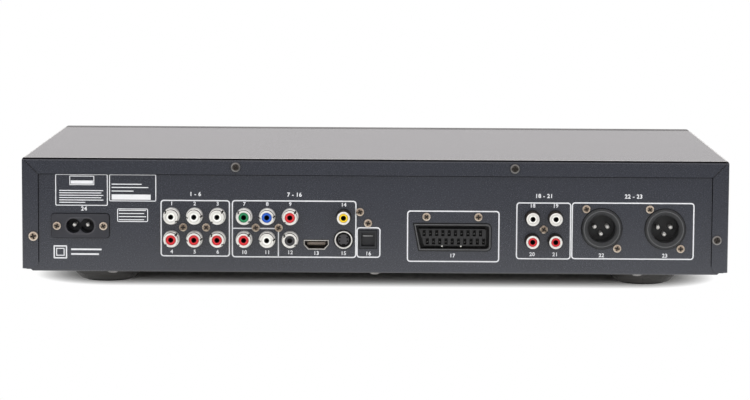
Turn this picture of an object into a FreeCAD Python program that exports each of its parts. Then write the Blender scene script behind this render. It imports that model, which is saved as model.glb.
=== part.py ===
import FreeCAD, Part
import math
import os

from FreeCAD import Rotation, Vector

# Karaoke disc player: a low console with a folded steel case, a loading disc tray, microphone
# controls on the front and a full row of sound and picture sockets on the back.
# Millimetres. +Z is up, the front faces -Y, +X is to the right of someone facing the front.
# The origin is on the ground, in the middle of the space that the player takes up.

# General
FIT = 0.2               # gap between pieces that slip together
RUNNING_GAP = 0.05      # radial gap of a shaft in its bore
OVERRUN = 1.0           # how far a cutter runs past the face that it opens

# Case
BODY_WIDTH = 430.0
BODY_DEPTH = 235.0      # face of the front panel to the rear face of the cover
BODY_HEIGHT = 68.6      # underside of the base to the top of the cover
SHEET = 1.0             # steel of the base, the cover and the rear panel
FOLD_R = 0.8            # inner radius of the folds
SKIRT_RISE = 0.5        # lower edge of the cover above the underside of the base
RETURN_WIDTH = 9.9      # edge of the cover that folds over the rear panel
RETURN_CORNER = 4.0
MITRE_GAP = 0.6
BASE_WALL = 20.0        # folded sides of the base
BASE_LIP = 6.0          # folded front edge of the base
REAR_FOOT = 12.0        # edge of the rear panel that folds under the base
REAR_CORNER = 4.6       # cut lower corners of the rear panel
VENT_LENGTH = 30.0
VENT_WIDTH = 3.0
VENT_PITCH = 8.0
VENT_COUNT = 8
VENT_MARGIN = 58.0      # first floor vent from the front of the base

# Case screws
SCREW_HEAD_R = 2.9
SCREW_HEAD = 1.7
SCREW_DOME = 0.6        # rise of the head's crown above its rim
SCREW_R = 1.45
SCREW_LENGTH = 6.0
SCREW_CLEARANCE = 0.1
SIDE_SCREW_INSET = 7.0  # rear screws from the side of the case
SIDE_SCREW_RISE = 20.5  # rear screws above the underside of the base
TOP_SCREW_DROP = 5.2    # rear screws below the top of the cover
TOP_SCREW_X = 84.8
WALL_SCREW_RISE = 11.0  # screws in the sides of the cover
WALL_SCREW_INSET = 45.0
FOLD_SCREW_INSET = 54.6 # outer screws in the rear panel's lower fold, from the sides

# Socket screws
JACK_SCREW_HEAD_R = 2.5
JACK_SCREW_HEAD = 1.5
JACK_SCREW_R = 1.3
JACK_SCREW_LENGTH = 7.0

# Feet
FOOT_HEIGHT = 11.2      # ground to the underside of the base
FOOT_R = 22.5
FOOT_TAPER = 2.0
FOOT_ROUND = 3.5
FOOT_SIDE = 48.2        # feet from the sides of the case
FOOT_INSET = 46.0       # feet from the front and the back of the case
FOOT_WEB = 3.5          # plastic under the head of the foot's screw
PAD_R = 14.0
PAD_BORE_R = 7.0
PAD_THICKNESS = 2.5
PAD_PROUD = 1.0

# Phono sockets
JACK_PITCH = 14.0
JACK_ROW_RISE = 19.4    # lower row above the underside of the base
JACK_ROWS = 2
JACK_LENGTH = 9.0       # shell beyond the rear panel
WIDE_SHELL_R = 4.5
SHELL_R = 4.15
SHELL_WALL = 1.4
SHELL_ROUND = 0.4
INSERT_RECESS = 0.8
INSERT_CHAMFER = 0.5
CONTACT_R = 1.6
CONTACT_DEPTH = 7.5
JACK_HOLE_GAP = 0.6
BLOCK_MARGIN = 8.0      # moulded block past the centres of its outer sockets
BLOCK_DEPTH = 13.0
BLOCK_SPACE = 0.2
AV_COLUMNS = 3
SURROUND_COLUMNS = 3
KARAOKE_COLUMNS = 2
TAB_MARGIN = 3.2        # moulding round a screw on a tab
TAB_DEPTH = 8.5

# Single phono socket and round picture socket
VIDEO_SPACE = 2.0
VIDEO_MARGIN = 7.0
VIDEO_SCREW_OFFSET = 9.9
VIDEO_SCREW_RISE = 36.4
DIN_R = 5.5
DIN_WALL = 0.8
DIN_LENGTH = 2.6        # shield beyond the rear panel
DIN_RECESS = 1.6
DIN_PIN_R = 0.55
DIN_PIN_CIRCLE_R = 2.6
DIN_PIN_ANGLES = (30.0, 150.0, 200.0, 340.0)
DIN_KEY_WIDTH = 2.2
DIN_KEY_HEIGHT = 0.9
DIN_KEY_DROP = 3.0      # key slot below the middle of the socket

# Flat picture socket
HDMI_WIDTH = 15.2
HDMI_HEIGHT = 5.8
HDMI_FOOT_SHARE = 0.66  # width of the lower edge
HDMI_SIDE_SHARE = 0.5   # height of the upright sides
HDMI_WALL = 0.5
HDMI_RISE = 16.2
HDMI_PROUD = 0.8
HDMI_DEPTH = 12.0
HDMI_SPACE = 0.3
HDMI_LEG = 3.0
TONGUE_WIDTH = 11.0
TONGUE_THICKNESS = 1.5
TONGUE_LENGTH = 9.0
TONGUE_RISE = 0.4       # tongue above the middle of the shell

# Optical socket
OPTICAL_WIDTH = 10.6
OPTICAL_HEIGHT = 10.8
OPTICAL_RISE = 19.5
OPTICAL_SPACE = 2.5
OPTICAL_PROUD = 0.6
OPTICAL_DEPTH = 15.0
OPTICAL_WALL = 1.2
OPTICAL_BEZEL = 4.2     # shutter behind the rim of its socket
OPTICAL_SCREW_RISE = 29.6
SHUTTER_THICKNESS = 1.2
SHUTTER_PIN_R = 0.5
SHUTTER_PIN_LENGTH = 0.8

# Scart socket
SCART_WIDTH = 47.2
SCART_HEIGHT = 16.6
SCART_SLANT = 3.2       # lower corner of the slanted end, inwards
SCART_ROUND = 2.8
SCART_WALL = 1.3
SCART_GROOVE = 1.9
SCART_GROOVE_DEPTH = 9.0
SCART_PROUD = 0.8
SCART_DEPTH = 17.0
SCART_MARGIN = 1.5
SCART_RISE = 21.3
SCART_SLOT_PITCH = 3.81
SCART_ROW_PITCH = 5.08
SCART_SLOT_WIDTH = 1.9
SCART_SLOT_HEIGHT = 3.7
SCART_SLOT_DEPTH = 6.0
SCART_SLOT_COUNTS = (11, 10)
SCART_SCREW_PITCH = 31.6
SCART_SCREW_RISE = 12.4   # screws above the middle of the socket

# XLR sockets
XLR_PITCH = 38.6
XLR_RISE = 27.0
XLR_R = 12.3
XLR_BORE_R = 8.4
XLR_PROUD = 2.2
XLR_ROUND = 0.8
XLR_BORE_DEPTH = 17.0
XLR_DEPTH = 22.0
XLR_FLANGE_WIDTH = 26.0
XLR_FLANGE_HEIGHT = 31.0
XLR_FLANGE = 3.0
XLR_SCREW_DX = 9.5
XLR_SCREW_DZ = 12.0
XLR_PIN_R = 1.2
XLR_PIN_CIRCLE_R = 3.95
XLR_PIN_LENGTH = 9.5
XLR_PIN_ANGLES = (7.0, 173.0, 270.0)

# Mains inlet
INLET_RISE = 27.0
INLET_WIDTH = 35.0
INLET_HEIGHT = 14.6
INLET_ROUND = 1.8
INLET_PROUD = 1.6
INLET_BODY_WIDTH = 21.0
INLET_BODY_HEIGHT = 12.0
INLET_BODY_DEPTH = 18.0
INLET_LOBE_R = 4.5
INLET_LOBE_PITCH = 8.2
INLET_DEPTH = 14.2      # depth of the figure-of-eight recess
INLET_SCREW_PITCH = 28.3
MAINS_PIN_R = 1.15
MAINS_PIN_LENGTH = 9.5

# Shares of the bare width of the back, in the spaces from one side to the other
XLR_SPACE_SHARE = 0.1637
KARAOKE_SPACE_SHARE = 0.0808
SCART_SPACE_SHARE = 0.1566
OPTICAL_SPACE_SHARE = 0.2120
INLET_SPACE_SHARE = 0.3041

# Front panel
FRONT_DEPTH = 16.0
FRONT_WALL = 2.5
FRONT_ROUND = 2.4
BOARD_SETBACK = 12.0    # front of the control boards behind the panel's face
BOARD_LOW = 4.0         # control boards above the underside of the base
BOARD_TOP_GAP = 4.0     # control boards below the top of the front panel's hollow
BOSS_R = 3.2
BOSS_BORE = 5.0
WINDOW_WIDTH = 136.0
WINDOW_HEIGHT = 24.0
WINDOW_RISE = 21.0      # middle of the window above the underside of the base
WINDOW_THICKNESS = 1.6
WINDOW_LEDGE = 2.0
WINDOW_ROUND = 2.0
DISPLAY_MARGIN = 10.0
DISPLAY_EDGE = 3.5      # display below and above the window's edges
DISPLAY_DEPTH = 6.0

# Microphone controls
KNOB_PITCH_SHARE = 0.262  # of the room beside the tray
KNOB_RISE = 45.0
KNOB_R = 10.5
KNOB_TIP_SHARE = 0.88   # radius of the knob's face
KNOB_LENGTH = 13.0
KNOB_GAP = 1.0
KNOB_ROUND = 1.2
KNOB_FLUTES = 16
KNOB_FLUTE_R = 1.0
KNOB_MARK_WIDTH = 1.4
KNOB_MARK_DEPTH = 0.6
KNOB_MARK_SHARE = 0.45  # where the pointer line starts on the face
KNOB_HOLLOW_R = 6.0
KNOB_HOLLOW = 3.0
STEM_R = 3.0
STEM_TIP_GAP = 0.5
POT_SIZE = 17.0
POT_DEPTH = 7.5
POT_BUSH_R = 4.0
POT_BUSH_PROUD = 1.6
POT_BORE_DEPTH = 9.0
MIC_JACK_RISE = 17.0
MIC_BORE_R = 3.3
MIC_BUSH_R = 5.0
MIC_BUSH_PROUD = 3.2
MIC_NUT_R = 8.0
MIC_NUT = 2.4
MIC_BODY = 16.0
MIC_BODY_DEPTH = 27.0
MIC_BORE_DEPTH = 24.0
MIC_BOARD_MARGIN = 16.0

# Keys
KEY_PROUD = 1.8
KEY_ROUND = 1.2
KEY_EDGE = 0.5
KEY_FLANGE = 1.2
KEY_LIP = 1.6
KEY_TRAVEL = 1.0
KEY_GAP = 0.35
KEY_STEM_R = 2.0
KEY_HEIGHT = 9.0
KEY_ROW_RISE = 20.0
PLAY_WIDTH_SHARE = 0.18   # of the room beside the tray
SKIP_WIDTH_SHARE = 0.29
KEY_SPACE_SHARE = 0.055
OPEN_WIDTH = 24.0
OPEN_HEIGHT = 8.0
OPEN_SPACE = 11.0       # open key from the tray
POWER_R = 8.0
POWER_PROUD = 3.6
POWER_PLACE_SHARE = 0.26  # power key from the middle of the keys
POWER_RISE = 46.0
POWER_TRAVEL = 2.5
SKIP_TILT = 2.5         # degrees each way
SKIP_PIN_R = 1.2
SKIP_DEPTH = 3.2        # rocker behind the panel's wall
SKIP_POST_WIDTH = 6.0
SKIP_POST_WALL = 2.0
SKIP_ARM_SHARE = 0.33
SWITCH_SIZE = 6.0
SWITCH_HEIGHT = 3.4
PLUNGER_R = 1.7
PLUNGER = 0.9
PRESS_GAP = 0.1         # key above its switch when it is pressed
KEY_BOARD_MARGIN = 1.0

# Boards
BOARD = 1.6
BOARD_RISE = 10.0       # top of the rear boards above the underside of the base
POST_R = 3.2
BOARD_GAP = 4.0         # boards from what they stand beside
BOARD_BACK = 0.6        # rear boards from the rear panel
BOARD_EDGE = 5.0        # board screws from the board's edge
BOARD_MARGIN = 3.0      # rear boards past the sockets that they carry
POWER_BOARD_DEPTH = 128.0
POWER_BOARD_CLEAR = 24.0  # power board from the rear panel
CORE_WIDTH = 34.0
CORE_DEPTH = 30.0
CORE_HEIGHT = 28.0
CORE_Y_SHARE = 0.68     # transformer along the power board
COIL_BULGE = 5.0
COIL_INSET = 6.0
CAPACITOR_R = 9.0
CAPACITOR_HEIGHT = 32.0
CAPACITOR_ROUND = 1.5
CAPACITOR_Y_SHARE = 0.4
CAPACITOR_PITCH = 22.0
SINK_WIDTH = 40.0
SINK_HEIGHT = 30.0
SINK_DEPTH = 12.0
SINK_Y_SHARE = 0.16
SINK_FINS = 6
SINK_FIN = 1.6
SINK_BACK = 2.5

# Tray
DISC_R = 60.0
POCKET_GAP = 1.2        # radial gap around a disc
POCKET = 2.4
INNER_POCKET_R = 41.5
INNER_POCKET = 3.9
TRAY_WIDTH = 132.0
TRAY_THICKNESS = 7.0
TRAY_TAIL_SHARE = 0.55  # of the room behind the disc; the rear boards have the rest
TRAY_LIP = 6.0          # tray in front of the disc
TRAY_CORNER = 5.0
TRAY_RISE = 43.0        # underside of the tray above the underside of the base
TRAY_SLOT_WIDTH = 44.0
TRIM_WIDTH = 140.0
TRIM_THICKNESS = 3.0
TRIM_ABOVE = 4.5        # trim above the tray
TRIM_BELOW = 1.0        # trim below the rack
TRIM_GAP = 0.5
TRIM_ROUND = 0.8
RACK_HEIGHT = 3.4
RACK_BACK = 2.6
RACK_INSET = 14.0       # pitch line of the rack from the side of the tray
RACK_MARGIN = 2.0       # rack from the ends of the tray
SLIDE_GAP = 0.3

# Loader frame
FRAME_WALL = 2.5
FRAME_START = 19.0      # front of the frame behind the panel's face
FRAME_TAIL = 4.0        # frame behind the tray
FRAME_FLOOR_RISE = 14.0 # underside of the frame above the underside of the base
FRAME_TOP = 5.0         # frame above the tray
LEG_R = 5.0
LEG_INSET = 9.0
LEDGE = 3.0
LEDGE_THICKNESS = 2.0
BRIDGE_WIDTH = 44.0
BRIDGE = 2.0
BRIDGE_RIB = 3.0

# Tray drive
RACK_MODULE = 1.0
RACK_TEETH = 20         # teeth of the gear on the rack
DRIVE_MODULE = 0.6
WHEEL_TEETH = 40
PINION_TEETH = 14
PRESSURE_ANGLE = 20.0   # degrees
ADDENDUM_SHARE = 0.8    # of the module
DEDENDUM_SHARE = 1.1
BACKLASH = 0.12         # off the thickness of each tooth
FLANK_POINTS = 4
GEAR_SETBACK = 34.0     # tray gear behind the panel's face
GEAR_POST_R = 2.0
GEAR_COLLAR_R = 4.0
WHEEL_THICKNESS = 4.0
WHEEL_GAP = 1.0         # between the wheel and the rack
TRAY_MOTOR_R = 9.0
TRAY_MOTOR = 15.0
MOTOR_SHAFT_R = 1.0

# Disc deck
DECK_WIDTH = 84.0
DECK_FRONT = 18.0       # deck in front of the disc's middle
HINGE_INSET = 11.0      # hinge in front of the tray's back edge
DECK = 2.0
DECK_GAP = 0.6          # deck from the sides of its opening
DECK_END_GAP = 2.0
DECK_DROP = 5.0         # degrees that the deck hangs down while the tray moves
DECK_BELOW = 13.0       # top of the deck below a clamped disc
DECK_RIB = 3.0
EAR = 4.0
EAR_R = 4.0
HINGE_R = 2.0
HINGE_POST = 6.0
HINGE_POST_R = 4.5
HINGE_DROP = 3.0        # hinge below the top of the deck
SEAT_RISE = 1.6         # clamped disc above the floor of its pocket
SEAT_R = 16.0
SEAT = 2.5
HUB_R = 7.4
HUB = 2.2
HUB_CHAMFER = 1.4
SPINDLE_R = 1.5
NECK_R = 5.0
SPINDLE_MOTOR_R = 13.0
SPINDLE_MOTOR = 10.0
PICKUP_HOME = 24.0      # lens from the disc's middle
PICKUP_CLEAR = 27.0     # sled from the hinge at the end of its travel
SLED_LENGTH = 30.0
SLED_WIDTH = 28.0
SLED_LIFT = 0.5         # sled above the deck
SLED_BLOCK = 4.2
SLED_TOP = 8.4          # top of the pickup above the deck
LENS_R = 4.0
LENS = 1.6
ROD_R = 1.2
ROD_X = 20.0
ROD_BLOCK = 6.0
ROD_POST_WIDTH = 5.0
ROD_END = 4.0
ROD_MARGIN = 3.0        # rod past the sled at each end of its travel
FEED_RACK = 2.4
FEED_OVERHANG = 6.0
FEED_HEIGHT = 3.0
FEED_MOTOR_R = 7.0
FEED_MOTOR = 9.0
DECK_WINDOW_WIDTH = 24.0
DECK_WINDOW_MARGIN = 4.0

# Clamper
CLAMPER_R = 12.0
CLAMPER_FLANGE_R = 16.0
CLAMPER_FLANGE = 1.6
CLAMPER_DROP = 3.2      # clamper below its bridge
CLAMPER_GAP = 1.0       # radial gap in the bridge
CLAMPER_DISH_R = 8.4
CLAMPER_DISH = 2.6

# Levels of the case
X_AXIS = Vector(1, 0, 0)
Y_AXIS = Vector(0, 1, 0)
Z_AXIS = Vector(0, 0, 1)

half_width = BODY_WIDTH / 2
knob_reach = KNOB_GAP + KNOB_LENGTH
total_depth = knob_reach + BODY_DEPTH + JACK_LENGTH - SHEET
front_y = knob_reach - total_depth / 2
front_back_y = front_y + FRONT_DEPTH
rear_y = front_y + BODY_DEPTH
panel_y = rear_y - SHEET
inside_y = panel_y - SHEET
base_z = FOOT_HEIGHT
floor_z = base_z + SHEET
top_z = base_z + BODY_HEIGHT
board_z = base_z + BOARD_RISE
base_half = half_width - SHEET - FIT

# Places on the back
low_row_z = base_z + JACK_ROW_RISE
high_row_z = low_row_z + (JACK_ROWS - 1) * JACK_PITCH
mid_row_z = (low_row_z + high_row_z) / 2
block_top_z = high_row_z + BLOCK_MARGIN


def block_half(columns):
    """Half the width of a phono block with this many columns."""
    return (columns - 1) / 2 * JACK_PITCH + BLOCK_MARGIN


scart_half = SCART_WIDTH / 2 + SCART_MARGIN
xlr_width = XLR_PITCH + 2 * XLR_R
block_widths = 2 * (block_half(KARAOKE_COLUMNS) + block_half(AV_COLUMNS) + block_half(SURROUND_COLUMNS))
picture_width = (OPTICAL_WIDTH + OPTICAL_SPACE + 2 * VIDEO_MARGIN + VIDEO_SPACE + HDMI_WIDTH + HDMI_SPACE
                 + BLOCK_SPACE)
bare_width = (BODY_WIDTH - 2 * RETURN_WIDTH - xlr_width - block_widths - 2 * scart_half - picture_width
              - INLET_WIDTH)
xlr_outer_x = RETURN_WIDTH - half_width + XLR_SPACE_SHARE * bare_width + XLR_R
xlr_inner_x = xlr_outer_x + XLR_PITCH
karaoke_x = xlr_inner_x + XLR_R + KARAOKE_SPACE_SHARE * bare_width + block_half(KARAOKE_COLUMNS)
karaoke_end_x = karaoke_x + block_half(KARAOKE_COLUMNS)
scart_x = karaoke_end_x + SCART_SPACE_SHARE * bare_width + scart_half
optical_x = scart_x + scart_half + OPTICAL_SPACE_SHARE * bare_width + OPTICAL_WIDTH / 2
video_x = optical_x + OPTICAL_WIDTH / 2 + OPTICAL_SPACE + VIDEO_MARGIN
hdmi_x = video_x + VIDEO_MARGIN + VIDEO_SPACE + HDMI_WIDTH / 2
av_x = hdmi_x + HDMI_WIDTH / 2 + HDMI_SPACE + block_half(AV_COLUMNS)
surround_x = av_x + block_half(AV_COLUMNS) + BLOCK_SPACE + block_half(SURROUND_COLUMNS)
surround_end_x = surround_x + block_half(SURROUND_COLUMNS)
inlet_x = surround_end_x + INLET_SPACE_SHARE * bare_width + INLET_WIDTH / 2
hdmi_z = base_z + HDMI_RISE
optical_z = base_z + OPTICAL_RISE
scart_z = base_z + SCART_RISE
xlr_z = base_z + XLR_RISE
inlet_z = base_z + INLET_RISE
video_screw = (video_x - VIDEO_SCREW_OFFSET, base_z + VIDEO_SCREW_RISE)
optical_screw = (optical_x, base_z + OPTICAL_SCREW_RISE)

# Places on the front
side_room = half_width - TRIM_WIDTH / 2
keys_x = half_width - side_room / 2
mic_x = -keys_x
knob_pitch = KNOB_PITCH_SHARE * side_room
knob_z = base_z + KNOB_RISE
mic_jack_z = base_z + MIC_JACK_RISE
window_z = base_z + WINDOW_RISE
knob_places = [mic_x + step * knob_pitch for step in (-1, 0, 1)]
mic_jack_places = [mic_x + step * knob_pitch / 2 for step in (-1, 1)]
key_z = base_z + KEY_ROW_RISE
play_width = PLAY_WIDTH_SHARE * side_room
skip_width = SKIP_WIDTH_SHARE * side_room
key_space = KEY_SPACE_SHARE * side_room
key_row = 2 * play_width + skip_width + 2 * key_space
play_x = keys_x - key_row / 2 + play_width / 2
stop_x = play_x + play_width + key_space
skip_x = stop_x + play_width / 2 + key_space + skip_width / 2
skip_arm = SKIP_ARM_SHARE * skip_width
open_x = TRIM_WIDTH / 2 + OPEN_SPACE + OPEN_WIDTH / 2
power_x = keys_x + POWER_PLACE_SHARE * side_room
power_z = base_z + POWER_RISE
control_y = front_y + BOARD_SETBACK
control_low_z = base_z + BOARD_LOW
control_high_z = top_z - FRONT_WALL - BOARD_TOP_GAP
plunger_y = control_y - SWITCH_HEIGHT - PLUNGER
wall_y = front_y + FRONT_WALL
rocker_y = wall_y + FIT + SKIP_PIN_R

# Places in the loader
tray_z = base_z + TRAY_RISE
tray_top_z = tray_z + TRAY_THICKNESS
tray_front_y = front_y + TRIM_THICKNESS
disc_y = tray_front_y + TRAY_LIP + DISC_R + POCKET_GAP
pocket_back_y = disc_y + DISC_R + POCKET_GAP
tail_room = inside_y - BOARD_BACK - BOARD_GAP - FRAME_WALL - FRAME_TAIL - pocket_back_y
tray_back_y = pocket_back_y + TRAY_TAIL_SHARE * tail_room
pocket_z = tray_top_z - POCKET
rack_z = tray_z - RACK_HEIGHT
trim_low_z = rack_z - TRIM_BELOW
trim_high_z = tray_top_z + TRIM_ABOVE
trim_z = (trim_low_z + trim_high_z) / 2
rack_x = RACK_INSET - TRAY_WIDTH / 2
gear_x = rack_x + RACK_MODULE * RACK_TEETH / 2
gear_y = front_y + GEAR_SETBACK
wheel_z = rack_z - WHEEL_GAP - WHEEL_THICKNESS
drive_distance = DRIVE_MODULE * (WHEEL_TEETH + PINION_TEETH) / 2
pinion_x = gear_x + drive_distance
frame_half = TRAY_WIDTH / 2 + SLIDE_GAP + FRAME_WALL
frame_front_y = front_y + FRAME_START
frame_back_y = tray_back_y + FRAME_TAIL + FRAME_WALL
frame_z = base_z + FRAME_FLOOR_RISE
frame_floor_z = frame_z + FRAME_WALL
frame_top_z = tray_top_z + FRAME_TOP
leg_x = frame_half - LEG_INSET
leg_places = [(x, y) for x in (-leg_x, leg_x)
              for y in (frame_front_y + LEG_INSET, frame_back_y - LEG_INSET)]

# Places on the disc deck, with the deck raised
seat_z = pocket_z + SEAT_RISE
deck_z = seat_z - DECK_BELOW
hinge_y = tray_back_y - HINGE_INSET
hinge_z = deck_z - HINGE_DROP
deck_front_y = disc_y - DECK_FRONT
deck_half = DECK_WIDTH / 2
home_y = disc_y + PICKUP_HOME
pickup_travel = hinge_y - PICKUP_CLEAR - SLED_LENGTH / 2 - home_y
rod_front_y = home_y - SLED_LENGTH / 2 - ROD_MARGIN
rod_back_y = home_y + pickup_travel + SLED_LENGTH / 2 + ROD_MARGIN
rod_z = deck_z + SLED_LIFT + SLED_BLOCK / 2
feed_pitch_x = -(ROD_X + ROD_BLOCK / 2 + FEED_RACK)
feed_x = feed_pitch_x - DRIVE_MODULE * PINION_TEETH / 2
feed_y = home_y + pickup_travel / 2

# Rear boards
board_front_y = frame_back_y + BOARD_GAP
board_back_y = inside_y - BOARD_BACK
board_split_x = (karaoke_end_x + scart_x - scart_half) / 2
av_board_span = (board_split_x + BOARD_GAP / 2, surround_end_x + BOARD_MARGIN)
karaoke_board_span = (xlr_outer_x - XLR_FLANGE_WIDTH / 2 - BOARD_MARGIN, board_split_x - BOARD_GAP / 2)
power_board_span = (av_board_span[1] + BOARD_GAP, base_half - SHEET - BOARD_GAP)
power_middle_x = sum(power_board_span) / 2
power_back_y = inside_y - POWER_BOARD_CLEAR
power_front_y = power_back_y - POWER_BOARD_DEPTH


def box(x0, x1, y0, y1, z0, z1):
    """Block between two corners."""
    return Part.makeBox(x1 - x0, y1 - y0, z1 - z0, Vector(x0, y0, z0))


def pin_x(y, z, radius, x0, x1):
    """Cylinder along X."""
    return Part.makeCylinder(radius, x1 - x0, Vector(x0, y, z), X_AXIS)


def pin_y(x, z, radius, y0, y1):
    """Cylinder along Y."""
    return Part.makeCylinder(radius, y1 - y0, Vector(x, y0, z), Y_AXIS)


def pin_z(x, y, radius, z0, z1):
    """Cylinder along Z."""
    return Part.makeCylinder(radius, z1 - z0, Vector(x, y, z0), Z_AXIS)


def fused(shapes):
    """One solid from shapes that meet."""
    return shapes[0].multiFuse(shapes[1:]).removeSplitter()


def without(shape, cutters):
    """A shape with every cutter taken out of it."""
    return shape.cut(cutters)


def group(shapes):
    """Separate solids in one piece."""
    return Part.makeCompound(shapes)


def edges_along(shape, axis, test=None):
    """Straight edges of a shape along an axis whose middle passes the test."""
    found = []
    for edge in shape.Edges:
        run = edge.Vertexes[-1].Point - edge.Vertexes[0].Point
        parallel = run.Length > 0 and run.cross(axis).Length < run.Length * 1e-6
        if parallel and (test is None or test(edge.CenterOfMass)):
            found.append(edge)
    return found


def plate_y(x, z, width, height, radius, y0, y1):
    """Plate across Y with rounded corners."""
    plate = box(x - width / 2, x + width / 2, y0, y1, z - height / 2, z + height / 2)
    return plate.makeFillet(radius, edges_along(plate, Y_AXIS))


def prism_y(points, y0, y1):
    """Outline of (x, z) points, pulled along Y."""
    corners = [Vector(x, y0, z) for x, z in points]
    return Part.Face(Part.makePolygon(corners + corners[:1])).extrude(Vector(0, y1 - y0, 0))


def prism_z(points, z0, z1):
    """Outline of (x, y) points, pulled along Z."""
    corners = [Vector(x, y, z0) for x, y in points]
    return Part.Face(Part.makePolygon(corners + corners[:1])).extrude(Vector(0, 0, z1 - z0))


def turned(points):
    """Profile of (radius, height) points, turned about Z."""
    corners = [Vector(radius, 0, height) for radius, height in points]
    face = Part.Face(Part.makePolygon(corners + corners[:1]))
    return face.revolve(Vector(0, 0, 0), Z_AXIS, 360)


def stood(shape, place, direction):
    """Copy of a shape made along Z, put at a place and pointed in a direction."""
    copy = shape.copy()
    copy.Placement = FreeCAD.Placement(place, Rotation(Z_AXIS, direction))
    return copy


def screw(head_r, head, dome, shank_r, length):
    """Pan-head screw along Z, with its head's underside at zero."""
    sphere_r = (head_r ** 2 + dome ** 2) / (2 * dome)
    crown_z = math.sqrt(sphere_r ** 2 - head_r ** 2 / 4) - sphere_r + head
    rim = Vector(head_r, 0, head - dome)
    points = [Vector(0, 0, head), Vector(0, 0, -length), Vector(shank_r, 0, -length),
              Vector(shank_r, 0, 0), Vector(head_r, 0, 0), rim]
    edges = [Part.makeLine(a, b) for a, b in zip(points, points[1:])]
    crown = Part.Arc(rim, Vector(head_r / 2, 0, crown_z), points[0]).toShape()
    face = Part.Face(Part.Wire(edges + [crown]))
    return face.revolve(Vector(0, 0, 0), Z_AXIS, 360)


def involute(angle):
    """Roll angle of an involute at a pressure angle."""
    return math.tan(angle) - angle


def gear(module, teeth, first_angle, x, y, z0, z1):
    """Spur gear about Z with involute flanks and a tooth at the first angle, in degrees."""
    pitch_r = module * teeth / 2
    base_r = pitch_r * math.cos(math.radians(PRESSURE_ANGLE))
    tip_r = pitch_r + ADDENDUM_SHARE * module
    root_r = pitch_r - DEDENDUM_SHARE * module
    start_r = max(base_r, root_r)
    half_tooth = (math.pi * module / 2 - BACKLASH) / (2 * pitch_r)
    half_base = half_tooth + involute(math.radians(PRESSURE_ANGLE))
    flank = []
    for step in range(FLANK_POINTS):
        radius = start_r + (tip_r - start_r) * step / (FLANK_POINTS - 1)
        flank.append((radius, half_base - involute(math.acos(base_r / radius))))
    if root_r < start_r:
        flank.insert(0, (root_r, flank[0][1]))
    points = []
    for tooth in range(teeth):
        middle = math.radians(first_angle) + 2 * math.pi * tooth / teeth
        rising = [(radius, middle - turn) for radius, turn in flank]
        falling = [(radius, middle + turn) for radius, turn in reversed(flank)]
        for radius, angle in rising + falling:
            points.append((x + radius * math.cos(angle), y + radius * math.sin(angle)))
    return prism_z(points, z0, z1)


def rack(module, pitch_x, side, back_x, gap_y, y0, y1, z0, z1):
    """Toothed bar along Y: teeth point to a side (+1 or -1), with a gap at one place."""
    pitch = math.pi * module
    slope = math.tan(math.radians(PRESSURE_ANGLE))
    addendum = ADDENDUM_SHARE * module
    dedendum = DEDENDUM_SHARE * module
    half_tooth = (pitch / 2 - BACKLASH) / 2
    tip_half = half_tooth - addendum * slope
    root_half = half_tooth + dedendum * slope
    tip_x = pitch_x + side * addendum
    root_x = pitch_x - side * dedendum
    first = math.ceil((y0 + root_half - gap_y) / pitch - 0.5)
    last = math.floor((y1 - root_half - gap_y) / pitch - 0.5)
    points = [(back_x, y0), (root_x, y0)]
    for tooth in range(first, last + 1):
        middle = gap_y + (tooth + 0.5) * pitch
        points += [(root_x, middle - root_half), (tip_x, middle - tip_half)]
        points += [(tip_x, middle + tip_half), (root_x, middle + root_half)]
    points += [(root_x, y1), (back_x, y1)]
    return prism_z(points, z0, z1)


def lowered(shape):
    """Copy of a piece made on the raised deck, hanging with the deck at rest."""
    copy = shape.copy()
    copy.rotate(Vector(0, hinge_y, hinge_z), X_AXIS, DECK_DROP)
    return copy


def socket_rows(x, columns):
    """Columns of phono sockets, as (x, lower z, upper z)."""
    first = x - (columns - 1) / 2 * JACK_PITCH
    return [(first + step * JACK_PITCH, low_row_z, high_row_z) for step in range(columns)]


surround_rows = socket_rows(surround_x, SURROUND_COLUMNS)
av_rows = socket_rows(av_x, AV_COLUMNS)
karaoke_rows = socket_rows(karaoke_x, KARAOKE_COLUMNS)
wide_sockets = [(x, z) for x, low, high in surround_rows + av_rows for z in (low, high)]
slim_sockets = [(x, z) for x, low, high in karaoke_rows for z in (low, high)]
slim_sockets.append((video_x, high_row_z))
xlr_places = [(xlr_outer_x, xlr_z), (xlr_inner_x, xlr_z)]
inlet_screws = [(inlet_x + side * INLET_SCREW_PITCH / 2, inlet_z) for side in (-1, 1)]
xlr_screws = [(x - side * XLR_SCREW_DX, z - side * XLR_SCREW_DZ)
              for x, z in xlr_places for side in (-1, 1)]
scart_screws = [(scart_x + side * SCART_SCREW_PITCH / 2, scart_z + SCART_SCREW_RISE)
                for side in (-1, 1)]
surround_screws = [(surround_x + side * JACK_PITCH / 2, mid_row_z) for side in (-1, 1)]
av_screws = [(av_x + side * JACK_PITCH / 2, mid_row_z) for side in (-1, 1)]
karaoke_screws = [(karaoke_x, mid_row_z)]
panel_screws = surround_screws + av_screws + karaoke_screws + scart_screws + xlr_screws
panel_screws += [video_screw, optical_screw]
return_screws = [(side * (half_width - SIDE_SCREW_INSET), base_z + SIDE_SCREW_RISE) for side in (-1, 1)]
return_screws += [(side * TOP_SCREW_X, top_z - TOP_SCREW_DROP) for side in (-1, 1)]
wall_screws = [(y, base_z + WALL_SCREW_RISE)
               for y in (front_y + WALL_SCREW_INSET, rear_y - WALL_SCREW_INSET)]
foot_x = half_width - FOOT_SIDE
vent_x = (frame_half + foot_x - FOOT_R) / 2
foot_places = [(side * foot_x, y) for side in (-1, 1)
               for y in (front_y + FOOT_INSET, rear_y - FOOT_INSET)]
fold_screws = [(step * (half_width - FOLD_SCREW_INSET), inside_y - REAR_FOOT / 2) for step in (-1, 0, 1)]


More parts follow.
